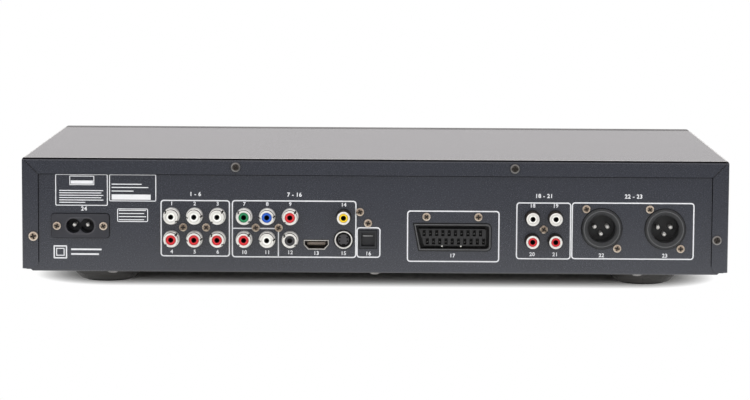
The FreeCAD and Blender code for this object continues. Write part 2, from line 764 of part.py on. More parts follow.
def board_corners(span, y_places):
    """Screw places of a board, inset from its sides."""
    return [(x, y) for x in (span[0] + BOARD_EDGE, span[1] - BOARD_EDGE) for y in y_places]


board_screws = board_corners(av_board_span, (board_front_y + BOARD_EDGE,))
board_screws += board_corners(karaoke_board_span, (board_front_y + BOARD_EDGE,))
board_screws += board_corners(power_board_span, (power_front_y + BOARD_EDGE, power_back_y - BOARD_EDGE))
board_props = board_corners(av_board_span, (board_back_y - BOARD_EDGE,))
board_props += board_corners(karaoke_board_span, (board_back_y - BOARD_EDGE,))

mic_board_span = (mic_x - knob_pitch - MIC_BOARD_MARGIN, mic_x + knob_pitch + MIC_BOARD_MARGIN)
front_board_step = TRIM_WIDTH / 2 + BOARD_GAP
front_board_right = keys_x + key_row / 2 + KEY_BOARD_MARGIN
front_board_top = trim_low_z - BOARD_GAP
control_screws = [(x, z) for x in (mic_board_span[0] + BOARD_EDGE, mic_board_span[1] - BOARD_EDGE)
                  for z in (control_low_z + BOARD_EDGE, control_high_z - BOARD_EDGE)]
control_screws += [(front_board_right - BOARD_EDGE, z)
                   for z in (control_low_z + BOARD_EDGE, control_high_z - BOARD_EDGE)]
control_screws += [(front_board_step + BOARD_EDGE, control_high_z - BOARD_EDGE),
                   (BOARD_EDGE - WINDOW_WIDTH / 2, front_board_top - BOARD_EDGE)]


def case_hole_r():
    """Radius of a clearance hole for a case screw."""
    return SCREW_R + SCREW_CLEARANCE


def jack_hole_r():
    """Radius of a clearance hole for a socket screw."""
    return JACK_SCREW_R + SCREW_CLEARANCE


def screw_bores(places, depth):
    """Bores for socket screws, from the rear panel inwards."""
    return [pin_y(x, z, jack_hole_r(), inside_y - depth, rear_y) for x, z in places]


def scart_outline(inset):
    """Outline of the scart socket: one end slants, and the inset runs inwards."""
    left = scart_x - SCART_WIDTH / 2 + inset
    right = scart_x + SCART_WIDTH / 2 - inset
    low = scart_z - SCART_HEIGHT / 2 + inset
    high = scart_z + SCART_HEIGHT / 2 - inset
    return [(left, low), (right - SCART_SLANT, low), (right, high), (left, high)]


def scart_prism(inset, y0, y1):
    """The scart outline as a solid, rounded at the square end."""
    solid = prism_y(scart_outline(inset), y0, y1)
    square_end = edges_along(solid, Y_AXIS, lambda point: point.x < scart_x)
    return solid.makeFillet(max(SCART_ROUND - inset / 2, FIT), square_end)


def hdmi_outline(inset):
    """Outline of the flat picture socket, narrower below."""
    half = HDMI_WIDTH / 2 - inset
    low = hdmi_z - HDMI_HEIGHT / 2 + inset
    high = hdmi_z + HDMI_HEIGHT / 2 - inset
    shoulder = high - HDMI_SIDE_SHARE * (high - low)
    foot = HDMI_FOOT_SHARE * half
    return [(hdmi_x - half, high), (hdmi_x - half, shoulder), (hdmi_x - foot, low),
            (hdmi_x + foot, low), (hdmi_x + half, shoulder), (hdmi_x + half, high)]


def base_tray():
    """Folded floor of the case, with pillars for the boards."""
    fold = FOLD_R + SHEET
    tray = box(-base_half, base_half, front_back_y, inside_y, base_z, base_z + BASE_WALL)
    tray = tray.makeFillet(fold, edges_along(tray, Y_AXIS, lambda point: point.z < floor_z))
    hollow = box(SHEET - base_half, base_half - SHEET, front_back_y + SHEET, inside_y + OVERRUN,
                 floor_z, base_z + BASE_WALL + OVERRUN)
    above_lip = box(SHEET - base_half, base_half - SHEET, front_back_y - OVERRUN,
                    front_back_y + SHEET + OVERRUN, base_z + BASE_LIP, base_z + BASE_WALL + OVERRUN)
    tray = without(tray, [hollow, above_lip])
    under_board = board_z - BOARD
    pillars = [pin_z(x, y, POST_R, floor_z, under_board) for x, y in board_screws + board_props]
    tray = fused([tray] + pillars)
    cutters = [pin_z(x, y, case_hole_r(), floor_z, under_board + OVERRUN) for x, y in board_screws]
    cutters += [pin_z(x, y, case_hole_r(), base_z - OVERRUN, floor_z + OVERRUN)
                for x, y in foot_places + fold_screws + leg_places]
    for step in range(VENT_COUNT):
        vent_y = front_back_y + VENT_MARGIN + step * VENT_PITCH
        for side in (-1, 1):
            middle = side * vent_x
            cutters.append(box(middle - VENT_LENGTH / 2, middle + VENT_LENGTH / 2, vent_y,
                               vent_y + VENT_WIDTH, base_z - OVERRUN, floor_z + OVERRUN))
    for y, z in wall_screws:
        cutters.append(pin_x(y, z, case_hole_r(), -half_width, SHEET + FIT - base_half))
        cutters.append(pin_x(y, z, case_hole_r(), base_half - SHEET - FIT, half_width))
    return without(tray, cutters)


def rear_panel():
    """Upright sheet that carries the sockets, folded under the base at its foot."""
    low = base_z - SHEET
    half = half_width - SHEET - FOLD_R
    plate = box(-half, half, inside_y, panel_y, low, top_z - SHEET - FOLD_R)
    corners = edges_along(plate, Y_AXIS, lambda point: point.z < floor_z)
    plate = plate.makeChamfer(REAR_CORNER, corners)
    foot_half = half - REAR_CORNER
    foot = box(-foot_half, foot_half, inside_y - REAR_FOOT, inside_y, low, base_z)
    panel = fused([plate, foot])
    fold = edges_along(panel, X_AXIS, lambda point: point.z < base_z - SHEET / 2 and point.y > inside_y)
    panel = panel.makeFillet(SHEET, fold)
    y0 = inside_y - OVERRUN
    y1 = panel_y + OVERRUN
    cutters = [pin_y(x, z, WIDE_SHELL_R + JACK_HOLE_GAP, y0, y1) for x, z in wide_sockets]
    cutters += [pin_y(x, z, SHELL_R + JACK_HOLE_GAP, y0, y1) for x, z in slim_sockets]
    cutters.append(pin_y(video_x, low_row_z, DIN_R + JACK_HOLE_GAP, y0, y1))
    cutters += [pin_y(x, z, XLR_R + FIT, y0, y1) for x, z in xlr_places]
    cutters += [pin_y(x, z, jack_hole_r(), y0, y1) for x, z in panel_screws + inlet_screws]
    cutters += [pin_y(x, z, case_hole_r(), y0, y1) for x, z in return_screws]
    cutters += [pin_z(x, y, case_hole_r(), low - OVERRUN, floor_z) for x, y in fold_screws]
    cutters.append(prism_y(hdmi_outline(-FIT), y0, y1))
    cutters.append(scart_prism(-FIT, y0, y1))
    half = OPTICAL_WIDTH / 2 + FIT
    tall = OPTICAL_HEIGHT / 2 + FIT
    cutters.append(box(optical_x - half, optical_x + half, y0, y1, optical_z - tall, optical_z + tall))
    half = INLET_BODY_WIDTH / 2 + FIT
    tall = INLET_BODY_HEIGHT / 2 + FIT
    cutters.append(box(inlet_x - half, inlet_x + half, y0, y1, inlet_z - tall, inlet_z + tall))
    return without(panel, cutters)


def top_cover():
    """Lid folded over the top and sides, with a mitred return round the back."""
    fold = FOLD_R + SHEET
    low = base_z + SKIRT_RISE
    front = front_back_y + FIT
    outer = box(-half_width, half_width, front, rear_y, low, top_z)
    edges = edges_along(outer, Y_AXIS, lambda point: point.z > top_z - fold)
    edges += edges_along(outer, X_AXIS, lambda point: point.z > top_z - fold and point.y > rear_y - fold)
    edges += edges_along(outer, Z_AXIS, lambda point: point.y > rear_y - fold)
    outer = outer.makeFillet(fold, edges)
    inner = box(SHEET - half_width, half_width - SHEET, front - OVERRUN, panel_y, low - OVERRUN,
                top_z - SHEET)
    edges = edges_along(inner, Y_AXIS, lambda point: point.z > top_z - fold)
    edges += edges_along(inner, X_AXIS, lambda point: point.z > top_z - fold and point.y > panel_y - fold)
    edges += edges_along(inner, Z_AXIS, lambda point: point.y > panel_y - fold)
    inner = inner.makeFillet(FOLD_R, edges)
    mouth_half = half_width - RETURN_WIDTH
    mouth = box(-mouth_half, mouth_half, panel_y - OVERRUN, rear_y + OVERRUN, low - OVERRUN,
                top_z - RETURN_WIDTH)
    cover = without(outer, [inner, mouth])
    corners = edges_along(cover, Y_AXIS, lambda point: point.y > panel_y and point.z < low + FIT
                          and abs(abs(point.x) - mouth_half) < FIT)
    cover = cover.makeFillet(RETURN_CORNER, corners)
    cutters = [pin_y(x, z, case_hole_r(), panel_y - OVERRUN, rear_y + OVERRUN) for x, z in return_screws]
    slit = math.hypot(RETURN_WIDTH - fold, RETURN_WIDTH - fold)
    for side in (-1, 1):
        cut = box(-MITRE_GAP, slit, panel_y - FOLD_R, rear_y + OVERRUN, -MITRE_GAP / 2, MITRE_GAP / 2)
        cut.rotate(Vector(0, 0, 0), Y_AXIS, -90 + side * 45)
        cut.translate(Vector(side * mouth_half, 0, top_z - RETURN_WIDTH))
        cutters.append(cut)
    for y, z in wall_screws:
        cutters.append(pin_x(y, z, case_hole_r(), -half_width - OVERRUN, OVERRUN + SHEET - half_width))
        cutters.append(pin_x(y, z, case_hole_r(), half_width - SHEET - OVERRUN, half_width + OVERRUN))
    return without(cover, cutters)


def front_panel():
    """Moulded front with its openings, bosses for the boards and ears for the skip rocker."""
    low = base_z - SHEET
    shell = box(-half_width, half_width, front_y, front_back_y, low, top_z)
    edges = edges_along(shell, X_AXIS, lambda point: point.y < wall_y)
    edges += edges_along(shell, Z_AXIS, lambda point: point.y < wall_y)
    edges += edges_along(shell, Y_AXIS)
    shell = shell.makeFillet(FRONT_ROUND, edges)
    hollow = box(FRONT_WALL - half_width, half_width - FRONT_WALL, wall_y, front_back_y + OVERRUN,
                 low + FRONT_WALL, top_z - FRONT_WALL)
    shell = without(shell, [hollow])
    bosses = [pin_y(x, z, BOSS_R, wall_y, control_y) for x, z in control_screws]
    rocker_half = KEY_HEIGHT / 2 + FIT
    for side in (-1, 1):
        ear_z = key_z + side * (rocker_half + SKIP_POST_WALL / 2)
        bosses.append(box(skip_x - SKIP_POST_WIDTH / 2, skip_x + SKIP_POST_WIDTH / 2, wall_y,
                          rocker_y + SKIP_POST_WIDTH / 2, ear_z - SKIP_POST_WALL / 2,
                          ear_z + SKIP_POST_WALL / 2))
    shell = fused([shell] + bosses)
    y0 = front_y - OVERRUN
    y1 = wall_y + OVERRUN
    cutters = [pin_y(x, z, case_hole_r(), control_y - BOSS_BORE, control_y + OVERRUN)
               for x, z in control_screws]
    cutters.append(pin_z(skip_x, rocker_y, SKIP_PIN_R + RUNNING_GAP, key_z - rocker_half - SKIP_POST_WALL
                         - OVERRUN, key_z + rocker_half + SKIP_POST_WALL + OVERRUN))
    trim_height = trim_high_z - trim_low_z
    cutters.append(plate_y(0, trim_z, TRIM_WIDTH + 2 * TRIM_GAP, trim_height + 2 * TRIM_GAP, TRIM_ROUND,
                           y0, y1))
    cutters.append(plate_y(0, window_z, WINDOW_WIDTH + 2 * FIT, WINDOW_HEIGHT + 2 * FIT, WINDOW_ROUND + FIT,
                           y0, front_y + WINDOW_THICKNESS))
    cutters.append(plate_y(0, window_z, WINDOW_WIDTH - 2 * WINDOW_LEDGE, WINDOW_HEIGHT - 2 * WINDOW_LEDGE,
                           WINDOW_ROUND, y0, y1))
    cutters += [pin_y(x, knob_z, POT_BUSH_R + FIT, y0, y1) for x in knob_places]
    cutters += [pin_y(x, mic_jack_z, MIC_BUSH_R + FIT, y0, y1) for x in mic_jack_places]
    for x, z, width, height in key_sizes().values():
        cutters.append(plate_y(x, z, width + 2 * KEY_GAP, height + 2 * KEY_GAP, KEY_ROUND + KEY_GAP, y0, y1))
    cutters.append(pin_y(power_x, power_z, POWER_R + KEY_GAP, y0, y1))
    return without(shell, cutters)


def key_sizes():
    """Middle, width and height of each flat key."""
    return {"play_button": (play_x, key_z, play_width, KEY_HEIGHT),
            "stop_button": (stop_x, key_z, play_width, KEY_HEIGHT),
            "skip_rocker": (skip_x, key_z, skip_width, KEY_HEIGHT),
            "open_close_button": (open_x, trim_z, OPEN_WIDTH, OPEN_HEIGHT)}


def feet():
    """Four turned feet, each with a bore for its screw and a groove for its pad."""
    neck = SCREW_R + SCREW_CLEARANCE
    foot = turned([(neck, FOOT_HEIGHT), (neck, FOOT_HEIGHT - FOOT_WEB), (PAD_BORE_R, FOOT_HEIGHT - FOOT_WEB),
                   (PAD_BORE_R, PAD_THICKNESS), (PAD_R + FIT, PAD_THICKNESS), (PAD_R + FIT, PAD_PROUD),
                   (FOOT_R - FOOT_TAPER - FOOT_ROUND, PAD_PROUD),
                   (FOOT_R - FOOT_TAPER, PAD_PROUD + FOOT_ROUND),
                   (FOOT_R, FOOT_HEIGHT)])
    return group([stood(foot, Vector(x, y, 0), Z_AXIS) for x, y in foot_places])


def foot_pads():
    """Rubber rings in the feet."""
    pad = turned([(PAD_BORE_R, 0), (PAD_R, 0), (PAD_R, PAD_THICKNESS), (PAD_BORE_R, PAD_THICKNESS)])
    return group([stood(pad, Vector(x, y, 0), Z_AXIS) for x, y in foot_places])


def case_screws():
    """Screws of the cover, the base, the feet, the loader and the boards."""
    plain = screw(SCREW_HEAD_R, SCREW_HEAD, SCREW_DOME, SCREW_R, SCREW_LENGTH)
    down = Vector(0, 0, -1)
    places = [(Vector(x, rear_y, z), Y_AXIS) for x, z in return_screws]
    for y, z in wall_screws:
        places += [(Vector(side * half_width, y, z), Vector(side, 0, 0)) for side in (-1, 1)]
    places += [(Vector(x, y, base_z - SHEET), down) for x, y in fold_screws]
    places += [(Vector(x, y, base_z - FOOT_WEB), down) for x, y in foot_places]
    places += [(Vector(x, y, base_z), down) for x, y in leg_places]
    places += [(Vector(x, y, board_z), Z_AXIS) for x, y in board_screws]
    places += [(Vector(x, control_y + BOARD, z), Y_AXIS) for x, z in control_screws]
    return group([stood(plain, place, direction) for place, direction in places])


def jack_screws():
    """Screws that hold the sockets to the rear panel."""
    plain = screw(JACK_SCREW_HEAD_R, JACK_SCREW_HEAD, SCREW_DOME, JACK_SCREW_R, JACK_SCREW_LENGTH)
    screws = [stood(plain, Vector(x, panel_y, z), Y_AXIS) for x, z in panel_screws]
    screws += [stood(plain, Vector(x, panel_y + INLET_PROUD, z), Y_AXIS) for x, z in inlet_screws]
    return group(screws)


def jack_block(x, columns, screws):
    """Moulded block behind the panel that carries columns of phono sockets."""
    half = block_half(columns)
    block = box(x - half, x + half, inside_y - BLOCK_DEPTH, inside_y, board_z, block_top_z)
    return without(block, screw_bores(screws, JACK_SCREW_LENGTH))


def tab(place, low_z):
    """Moulded tab round a screw, reaching down to a block."""
    x, z = place
    return box(x - TAB_MARGIN, x + TAB_MARGIN, inside_y - TAB_DEPTH, inside_y, low_z, z + TAB_MARGIN)


def av_jack_block():
    """Block of the picture and sound sockets, and the block of the video sockets beside it."""
    video = box(video_x - VIDEO_MARGIN, video_x + VIDEO_MARGIN, inside_y - BLOCK_DEPTH, inside_y,
                board_z, block_top_z)
    x, z = video_screw
    arm = box(x - TAB_MARGIN, video_x, inside_y - TAB_DEPTH, inside_y, z - TAB_MARGIN, z + TAB_MARGIN)
    video = without(fused([video, arm]), screw_bores([video_screw], JACK_SCREW_LENGTH))
    return group([jack_block(av_x, AV_COLUMNS, av_screws), video])


def jack_shells():
    """Metal shells of the phono sockets and the shield of the round picture socket."""
    length = SHEET + JACK_LENGTH
    shells = []
    for radius, places in ((WIDE_SHELL_R, wide_sockets), (SHELL_R, slim_sockets)):
        bore = radius - SHELL_WALL
        shell = turned([(bore, 0), (radius, 0), (radius, length - SHELL_ROUND),
                        (radius - SHELL_ROUND, length), (bore, length)])
        shells += [stood(shell, Vector(x, inside_y, z), Y_AXIS) for x, z in places]
    length = SHEET + DIN_LENGTH
    bore = DIN_R - DIN_WALL
    shield = turned([(bore, 0), (DIN_R, 0), (DIN_R, length - SHELL_ROUND), (DIN_R - SHELL_ROUND, length),
                     (bore, length)])
    shells.append(stood(shield, Vector(video_x, inside_y, low_row_z), Y_AXIS))
    return group(shells)


def jack_insert(shell_r, x, z):
    """Coloured plastic middle of a phono socket, with the hole for the plug's pin."""
    radius = shell_r - SHELL_WALL - RUNNING_GAP
    length = SHEET + JACK_LENGTH - INSERT_RECESS
    core = turned([(0, 0), (radius, 0), (radius, length - INSERT_CHAMFER), (radius - INSERT_CHAMFER, length),
                   (CONTACT_R, length), (CONTACT_R, length - CONTACT_DEPTH), (0, length - CONTACT_DEPTH)])
    return stood(core, Vector(x, inside_y, z), Y_AXIS)


def din_insert():
    """Keyed middle of the round picture socket."""
    radius = DIN_R - DIN_WALL - RUNNING_GAP
    front = panel_y + DIN_LENGTH - DIN_RECESS
    core = pin_y(video_x, low_row_z, radius, inside_y, front)
    cutters = []
    for angle in DIN_PIN_ANGLES:
        turn = math.radians(angle)
        cutters.append(pin_y(video_x + DIN_PIN_CIRCLE_R * math.cos(turn),
                             low_row_z + DIN_PIN_CIRCLE_R * math.sin(turn), DIN_PIN_R, inside_y + SHEET / 2,
                             front + OVERRUN))
    key = low_row_z - DIN_KEY_DROP
    cutters.append(box(video_x - DIN_KEY_WIDTH / 2, video_x + DIN_KEY_WIDTH / 2, inside_y + SHEET / 2,
                       front + OVERRUN, key - DIN_KEY_HEIGHT / 2, key + DIN_KEY_HEIGHT / 2))
    return without(core, cutters)


def jack_inserts():
    """Inserts of the phono sockets by colour."""
    white = [jack_insert(WIDE_SHELL_R, x, high) for x, low, high in surround_rows]
    white += [jack_insert(SHELL_R, x, high) for x, low, high in karaoke_rows]
    red = [jack_insert(WIDE_SHELL_R, x, low) for x, low, high in surround_rows]
    red += [jack_insert(SHELL_R, x, low) for x, low, high in karaoke_rows]
    right, middle, left = av_rows
    red.append(jack_insert(WIDE_SHELL_R, right[0], high_row_z))
    red.append(jack_insert(WIDE_SHELL_R, left[0], low_row_z))
    white.append(jack_insert(WIDE_SHELL_R, middle[0], low_row_z))
    black = [jack_insert(WIDE_SHELL_R, right[0], low_row_z), din_insert()]
    return {"jack_inserts_white": group(white),
            "jack_inserts_red": group(red),
            "jack_insert_green": jack_insert(WIDE_SHELL_R, left[0], high_row_z),
            "jack_insert_blue": jack_insert(WIDE_SHELL_R, middle[0], high_row_z),
            "jack_insert_yellow": jack_insert(SHELL_R, video_x, high_row_z),
            "jack_inserts_black": group(black)}


def hdmi_socket():
    """Metal shell of the flat picture socket and the contact tongue in it."""
    back = inside_y - HDMI_DEPTH
    shell = prism_y(hdmi_outline(0), back, panel_y + HDMI_PROUD)
    shell = without(shell, [prism_y(hdmi_outline(HDMI_WALL), back + HDMI_WALL, rear_y + OVERRUN)])
    foot = HDMI_FOOT_SHARE * HDMI_WIDTH / 2
    low = hdmi_z - HDMI_HEIGHT / 2
    legs = [box(hdmi_x + side * foot - (side + 1) / 2 * HDMI_LEG, hdmi_x + side * foot
                - (side - 1) / 2 * HDMI_LEG, back, inside_y, board_z, low) for side in (-1, 1)]
    shell = fused([shell] + legs)
    middle = hdmi_z + TONGUE_RISE
    tongue = box(hdmi_x - TONGUE_WIDTH / 2, hdmi_x + TONGUE_WIDTH / 2, back + HDMI_WALL,
                 back + HDMI_WALL + TONGUE_LENGTH, middle - TONGUE_THICKNESS / 2,
                 middle + TONGUE_THICKNESS / 2)
    return {"hdmi_shell": shell, "hdmi_tongue": tongue}


def optical_parts():
    """Square optical socket and the shutter that hangs in its mouth."""
    half = OPTICAL_WIDTH / 2
    tall = OPTICAL_HEIGHT / 2
    mouth_y = panel_y + OPTICAL_PROUD
    nose = box(optical_x - half, optical_x + half, inside_y - OPTICAL_DEPTH, mouth_y, optical_z - tall,
               optical_z + tall)
    leg = box(optical_x - half, optical_x + half, inside_y - OPTICAL_DEPTH, inside_y, board_z, optical_z)
    ear = tab(optical_screw, optical_z)
    cavity_half = half - OPTICAL_WALL
    cavity_tall = tall - OPTICAL_WALL
    cavity = box(optical_x - cavity_half, optical_x + cavity_half, inside_y - OPTICAL_DEPTH + OPTICAL_WALL,
                 mouth_y + OVERRUN, optical_z - cavity_tall, optical_z + cavity_tall)
    radius = SHUTTER_THICKNESS / 2
    hinge = (mouth_y - OPTICAL_BEZEL - radius, optical_z + cavity_tall - FIT - radius)
    flap_half = cavity_half - FIT
    pin_half = cavity_half + SHUTTER_PIN_LENGTH
    pivot = pin_x(hinge[0], hinge[1], SHUTTER_PIN_R + RUNNING_GAP, optical_x - pin_half - FIT,
                  optical_x + pin_half + FIT)
    bores = screw_bores([optical_screw], JACK_SCREW_LENGTH)
    socket = without(fused([nose, leg, ear]), [cavity, pivot] + bores)
    flap = box(optical_x - flap_half, optical_x + flap_half, hinge[0] - radius, hinge[0] + radius,
               optical_z - cavity_tall + FIT, hinge[1])
    roll = pin_x(hinge[0], hinge[1], radius, optical_x - flap_half, optical_x + flap_half)
    pins = pin_x(hinge[0], hinge[1], SHUTTER_PIN_R, optical_x - pin_half, optical_x + pin_half)
    return {"optical_socket": socket, "optical_shutter": fused([flap, roll, pins])}


def scart_socket():
    """Scart socket: a slanted shell, a groove for the plug and two rows of contact slots."""
    mouth_y = panel_y + SCART_PROUD
    nose = scart_prism(0, inside_y - SCART_DEPTH, mouth_y)
    body = box(scart_x - scart_half, scart_x + scart_half, inside_y - SCART_DEPTH, inside_y, board_z,
               scart_z + SCART_SCREW_RISE + TAB_MARGIN)
    groove = scart_prism(SCART_WALL, mouth_y - SCART_GROOVE_DEPTH, mouth_y + OVERRUN)
    core = scart_prism(SCART_WALL + SCART_GROOVE, mouth_y - SCART_GROOVE_DEPTH - OVERRUN, mouth_y + OVERRUN)
    cutters = [groove.cut(core)] + screw_bores(scart_screws, JACK_SCREW_LENGTH)
    cutters.append(box(scart_x - SCART_WIDTH, scart_x + SCART_WIDTH, mouth_y, mouth_y + OVERRUN,
                       scart_z - SCART_HEIGHT, scart_z + SCART_HEIGHT))
    for row, count in enumerate(SCART_SLOT_COUNTS):
        slot_z = scart_z + (row - 0.5) * SCART_ROW_PITCH
        for step in range(count):
            slot_x = scart_x + (step - (count - 1) / 2) * SCART_SLOT_PITCH
            cutters.append(box(slot_x - SCART_SLOT_WIDTH / 2, slot_x + SCART_SLOT_WIDTH / 2,
                               mouth_y - SCART_SLOT_DEPTH, mouth_y + OVERRUN, slot_z - SCART_SLOT_HEIGHT / 2,
                               slot_z + SCART_SLOT_HEIGHT / 2))
    return without(fused([nose, body]), cutters)


def xlr_parts():
    """Two XLR sockets, with their flanges behind the panel, and their pins."""
    mouth_y = panel_y + XLR_PROUD
    length = XLR_PROUD + SHEET + XLR_DEPTH
    barrel = turned([(0, 0), (XLR_R, 0), (XLR_R, length - XLR_ROUND), (XLR_R - XLR_ROUND, length),
                     (XLR_BORE_R + XLR_ROUND, length), (XLR_BORE_R, length - XLR_ROUND),
                     (XLR_BORE_R, length - XLR_BORE_DEPTH), (0, length - XLR_BORE_DEPTH)])
    pin = turned([(0, 0), (XLR_PIN_R, 0), (XLR_PIN_R, XLR_PIN_LENGTH - XLR_PIN_R / 2),
                  (XLR_PIN_R / 2, XLR_PIN_LENGTH), (0, XLR_PIN_LENGTH)])
    shells = []
    pins = []
    for x, z in xlr_places:
        flange = plate_y(x, z, XLR_FLANGE_WIDTH, XLR_FLANGE_HEIGHT, XLR_ROUND,
                         inside_y - XLR_FLANGE, inside_y)
        flange = without(flange, [pin_y(x, z, XLR_BORE_R, inside_y - XLR_FLANGE - OVERRUN, rear_y)])
        shell = fused([stood(barrel, Vector(x, mouth_y - length, z), Y_AXIS), flange])
        shells.append(without(shell, screw_bores(xlr_screws, JACK_SCREW_LENGTH)))
        for angle in XLR_PIN_ANGLES:
            turn = math.radians(angle)
            place = Vector(x + XLR_PIN_CIRCLE_R * math.cos(turn), mouth_y - XLR_BORE_DEPTH,
                           z + XLR_PIN_CIRCLE_R * math.sin(turn))
            pins.append(stood(pin, place, Y_AXIS))
    return {"xlr_shells": group(shells), "xlr_pins": group(pins)}


def mains_parts():
    """Figure-of-eight mains inlet and its pins."""
    mouth_y = panel_y + INLET_PROUD
    plate = plate_y(inlet_x, inlet_z, INLET_WIDTH, INLET_HEIGHT, INLET_ROUND, panel_y, mouth_y)
    body = box(inlet_x - INLET_BODY_WIDTH / 2, inlet_x + INLET_BODY_WIDTH / 2, inside_y - INLET_BODY_DEPTH,
               mouth_y, inlet_z - INLET_BODY_HEIGHT / 2, inlet_z + INLET_BODY_HEIGHT / 2)
    lobes = [inlet_x + side * INLET_LOBE_PITCH / 2 for side in (-1, 1)]
    cutters = [pin_y(x, inlet_z, INLET_LOBE_R, mouth_y - INLET_DEPTH, mouth_y + OVERRUN) for x in lobes]
    cutters += [pin_y(x, z, jack_hole_r(), inside_y, mouth_y + OVERRUN) for x, z in inlet_screws]
    pin = turned([(0, 0), (MAINS_PIN_R, 0), (MAINS_PIN_R, MAINS_PIN_LENGTH - MAINS_PIN_R / 2),
                  (MAINS_PIN_R / 2, MAINS_PIN_LENGTH), (0, MAINS_PIN_LENGTH)])
    pins = [stood(pin, Vector(x, mouth_y - INLET_DEPTH, inlet_z), Y_AXIS) for x in lobes]
    return {"mains_inlet": without(fused([plate, body]), cutters), "mains_pins": group(pins)}


def rear_board(span, y0, y1, screws):
    """Circuit board on the base's pillars."""
    board = box(span[0], span[1], y0, y1, board_z - BOARD, board_z)
    return without(board, [pin_z(x, y, case_hole_r(), board_z - BOARD - OVERRUN, board_z + OVERRUN)
                           for x, y in screws])


def power_parts():
    """Transformer, capacitors and heat sink on the power board."""
    x = power_middle_x
    y = power_front_y + CORE_Y_SHARE * POWER_BOARD_DEPTH
    core = box(x - CORE_WIDTH / 2, x + CORE_WIDTH / 2, y - CORE_DEPTH / 2, y + CORE_DEPTH / 2, board_z,
               board_z + CORE_HEIGHT)
    coil = box(x - CORE_WIDTH / 2 + COIL_INSET, x + CORE_WIDTH / 2 - COIL_INSET,
               y - CORE_DEPTH / 2 - COIL_BULGE, y + CORE_DEPTH / 2 + COIL_BULGE, board_z + COIL_INSET,
               board_z + CORE_HEIGHT - COIL_INSET)
    coil = coil.makeFillet(COIL_BULGE / 2, edges_along(coil, X_AXIS))
    y = power_front_y + CAPACITOR_Y_SHARE * POWER_BOARD_DEPTH
    can = turned([(0, 0), (CAPACITOR_R, 0), (CAPACITOR_R, CAPACITOR_HEIGHT - CAPACITOR_ROUND),
                  (CAPACITOR_R - CAPACITOR_ROUND, CAPACITOR_HEIGHT), (0, CAPACITOR_HEIGHT)])
    cans = [stood(can, Vector(x + side * CAPACITOR_PITCH / 2, y, board_z), Z_AXIS) for side in (-1, 1)]
    y = power_front_y + SINK_Y_SHARE * POWER_BOARD_DEPTH
    fins = [box(x - SINK_WIDTH / 2, x + SINK_WIDTH / 2, y, y + SINK_BACK, board_z, board_z + SINK_HEIGHT)]
    for step in range(SINK_FINS):
        fin_x = x - SINK_WIDTH / 2 + step * (SINK_WIDTH - SINK_FIN) / (SINK_FINS - 1)
        fins.append(box(fin_x, fin_x + SINK_FIN, y, y + SINK_DEPTH, board_z, board_z + SINK_HEIGHT))
    return group([fused([core, coil]), fused(fins)] + cans)


def mic_parts():
    """Microphone sockets with their nuts, the volume controls and the board behind them."""
    jacks = []
    notches = []
    for x in mic_jack_places:
        half = MIC_BODY / 2
        body = box(x - half, x + half, wall_y, wall_y + MIC_BODY_DEPTH, mic_jack_z - half, mic_jack_z + half)
        bush = pin_y(x, mic_jack_z, MIC_BUSH_R, front_y - MIC_BUSH_PROUD, wall_y)
        bore = pin_y(x, mic_jack_z, MIC_BORE_R, front_y - MIC_BUSH_PROUD - OVERRUN,
                     front_y - MIC_BUSH_PROUD + MIC_BORE_DEPTH)
        corners = [(x + MIC_NUT_R * math.cos(math.radians(60 * step)),
                    mic_jack_z + MIC_NUT_R * math.sin(math.radians(60 * step))) for step in range(6)]
        nut = prism_y(corners, front_y - MIC_NUT, front_y)
        nut = without(nut, [pin_y(x, mic_jack_z, MIC_BUSH_R + RUNNING_GAP, front_y - MIC_NUT - OVERRUN,
                                  wall_y)])
        jacks += [without(fused([body, bush]), [bore]), nut]
        notches.append(box(x - half - FIT, x + half + FIT, control_y - OVERRUN, front_back_y,
                           control_low_z - OVERRUN, mic_jack_z + half + FIT))
    pots = []
    for x in knob_places:
        half = POT_SIZE / 2
        body = box(x - half, x + half, control_y - POT_DEPTH, control_y, knob_z - half, knob_z + half)
        bush = pin_y(x, knob_z, POT_BUSH_R, front_y - POT_BUSH_PROUD, control_y - POT_DEPTH)
        bore = pin_y(x, knob_z, STEM_R + RUNNING_GAP, front_y - POT_BUSH_PROUD - OVERRUN,
                     front_y - POT_BUSH_PROUD + POT_BORE_DEPTH)
        pots.append(without(fused([body, bush]), [bore]))
    board = box(mic_board_span[0], mic_board_span[1], control_y, control_y + BOARD, control_low_z,
                control_high_z)
    return {"mic_jacks": group(jacks), "mic_pots": group(pots),
            "mic_board": without(board, notches + control_bores())}


def control_bores():
    """Screw holes in the two control boards."""
    return [pin_y(x, z, case_hole_r(), control_y - OVERRUN, control_y + BOARD + OVERRUN)
            for x, z in control_screws]


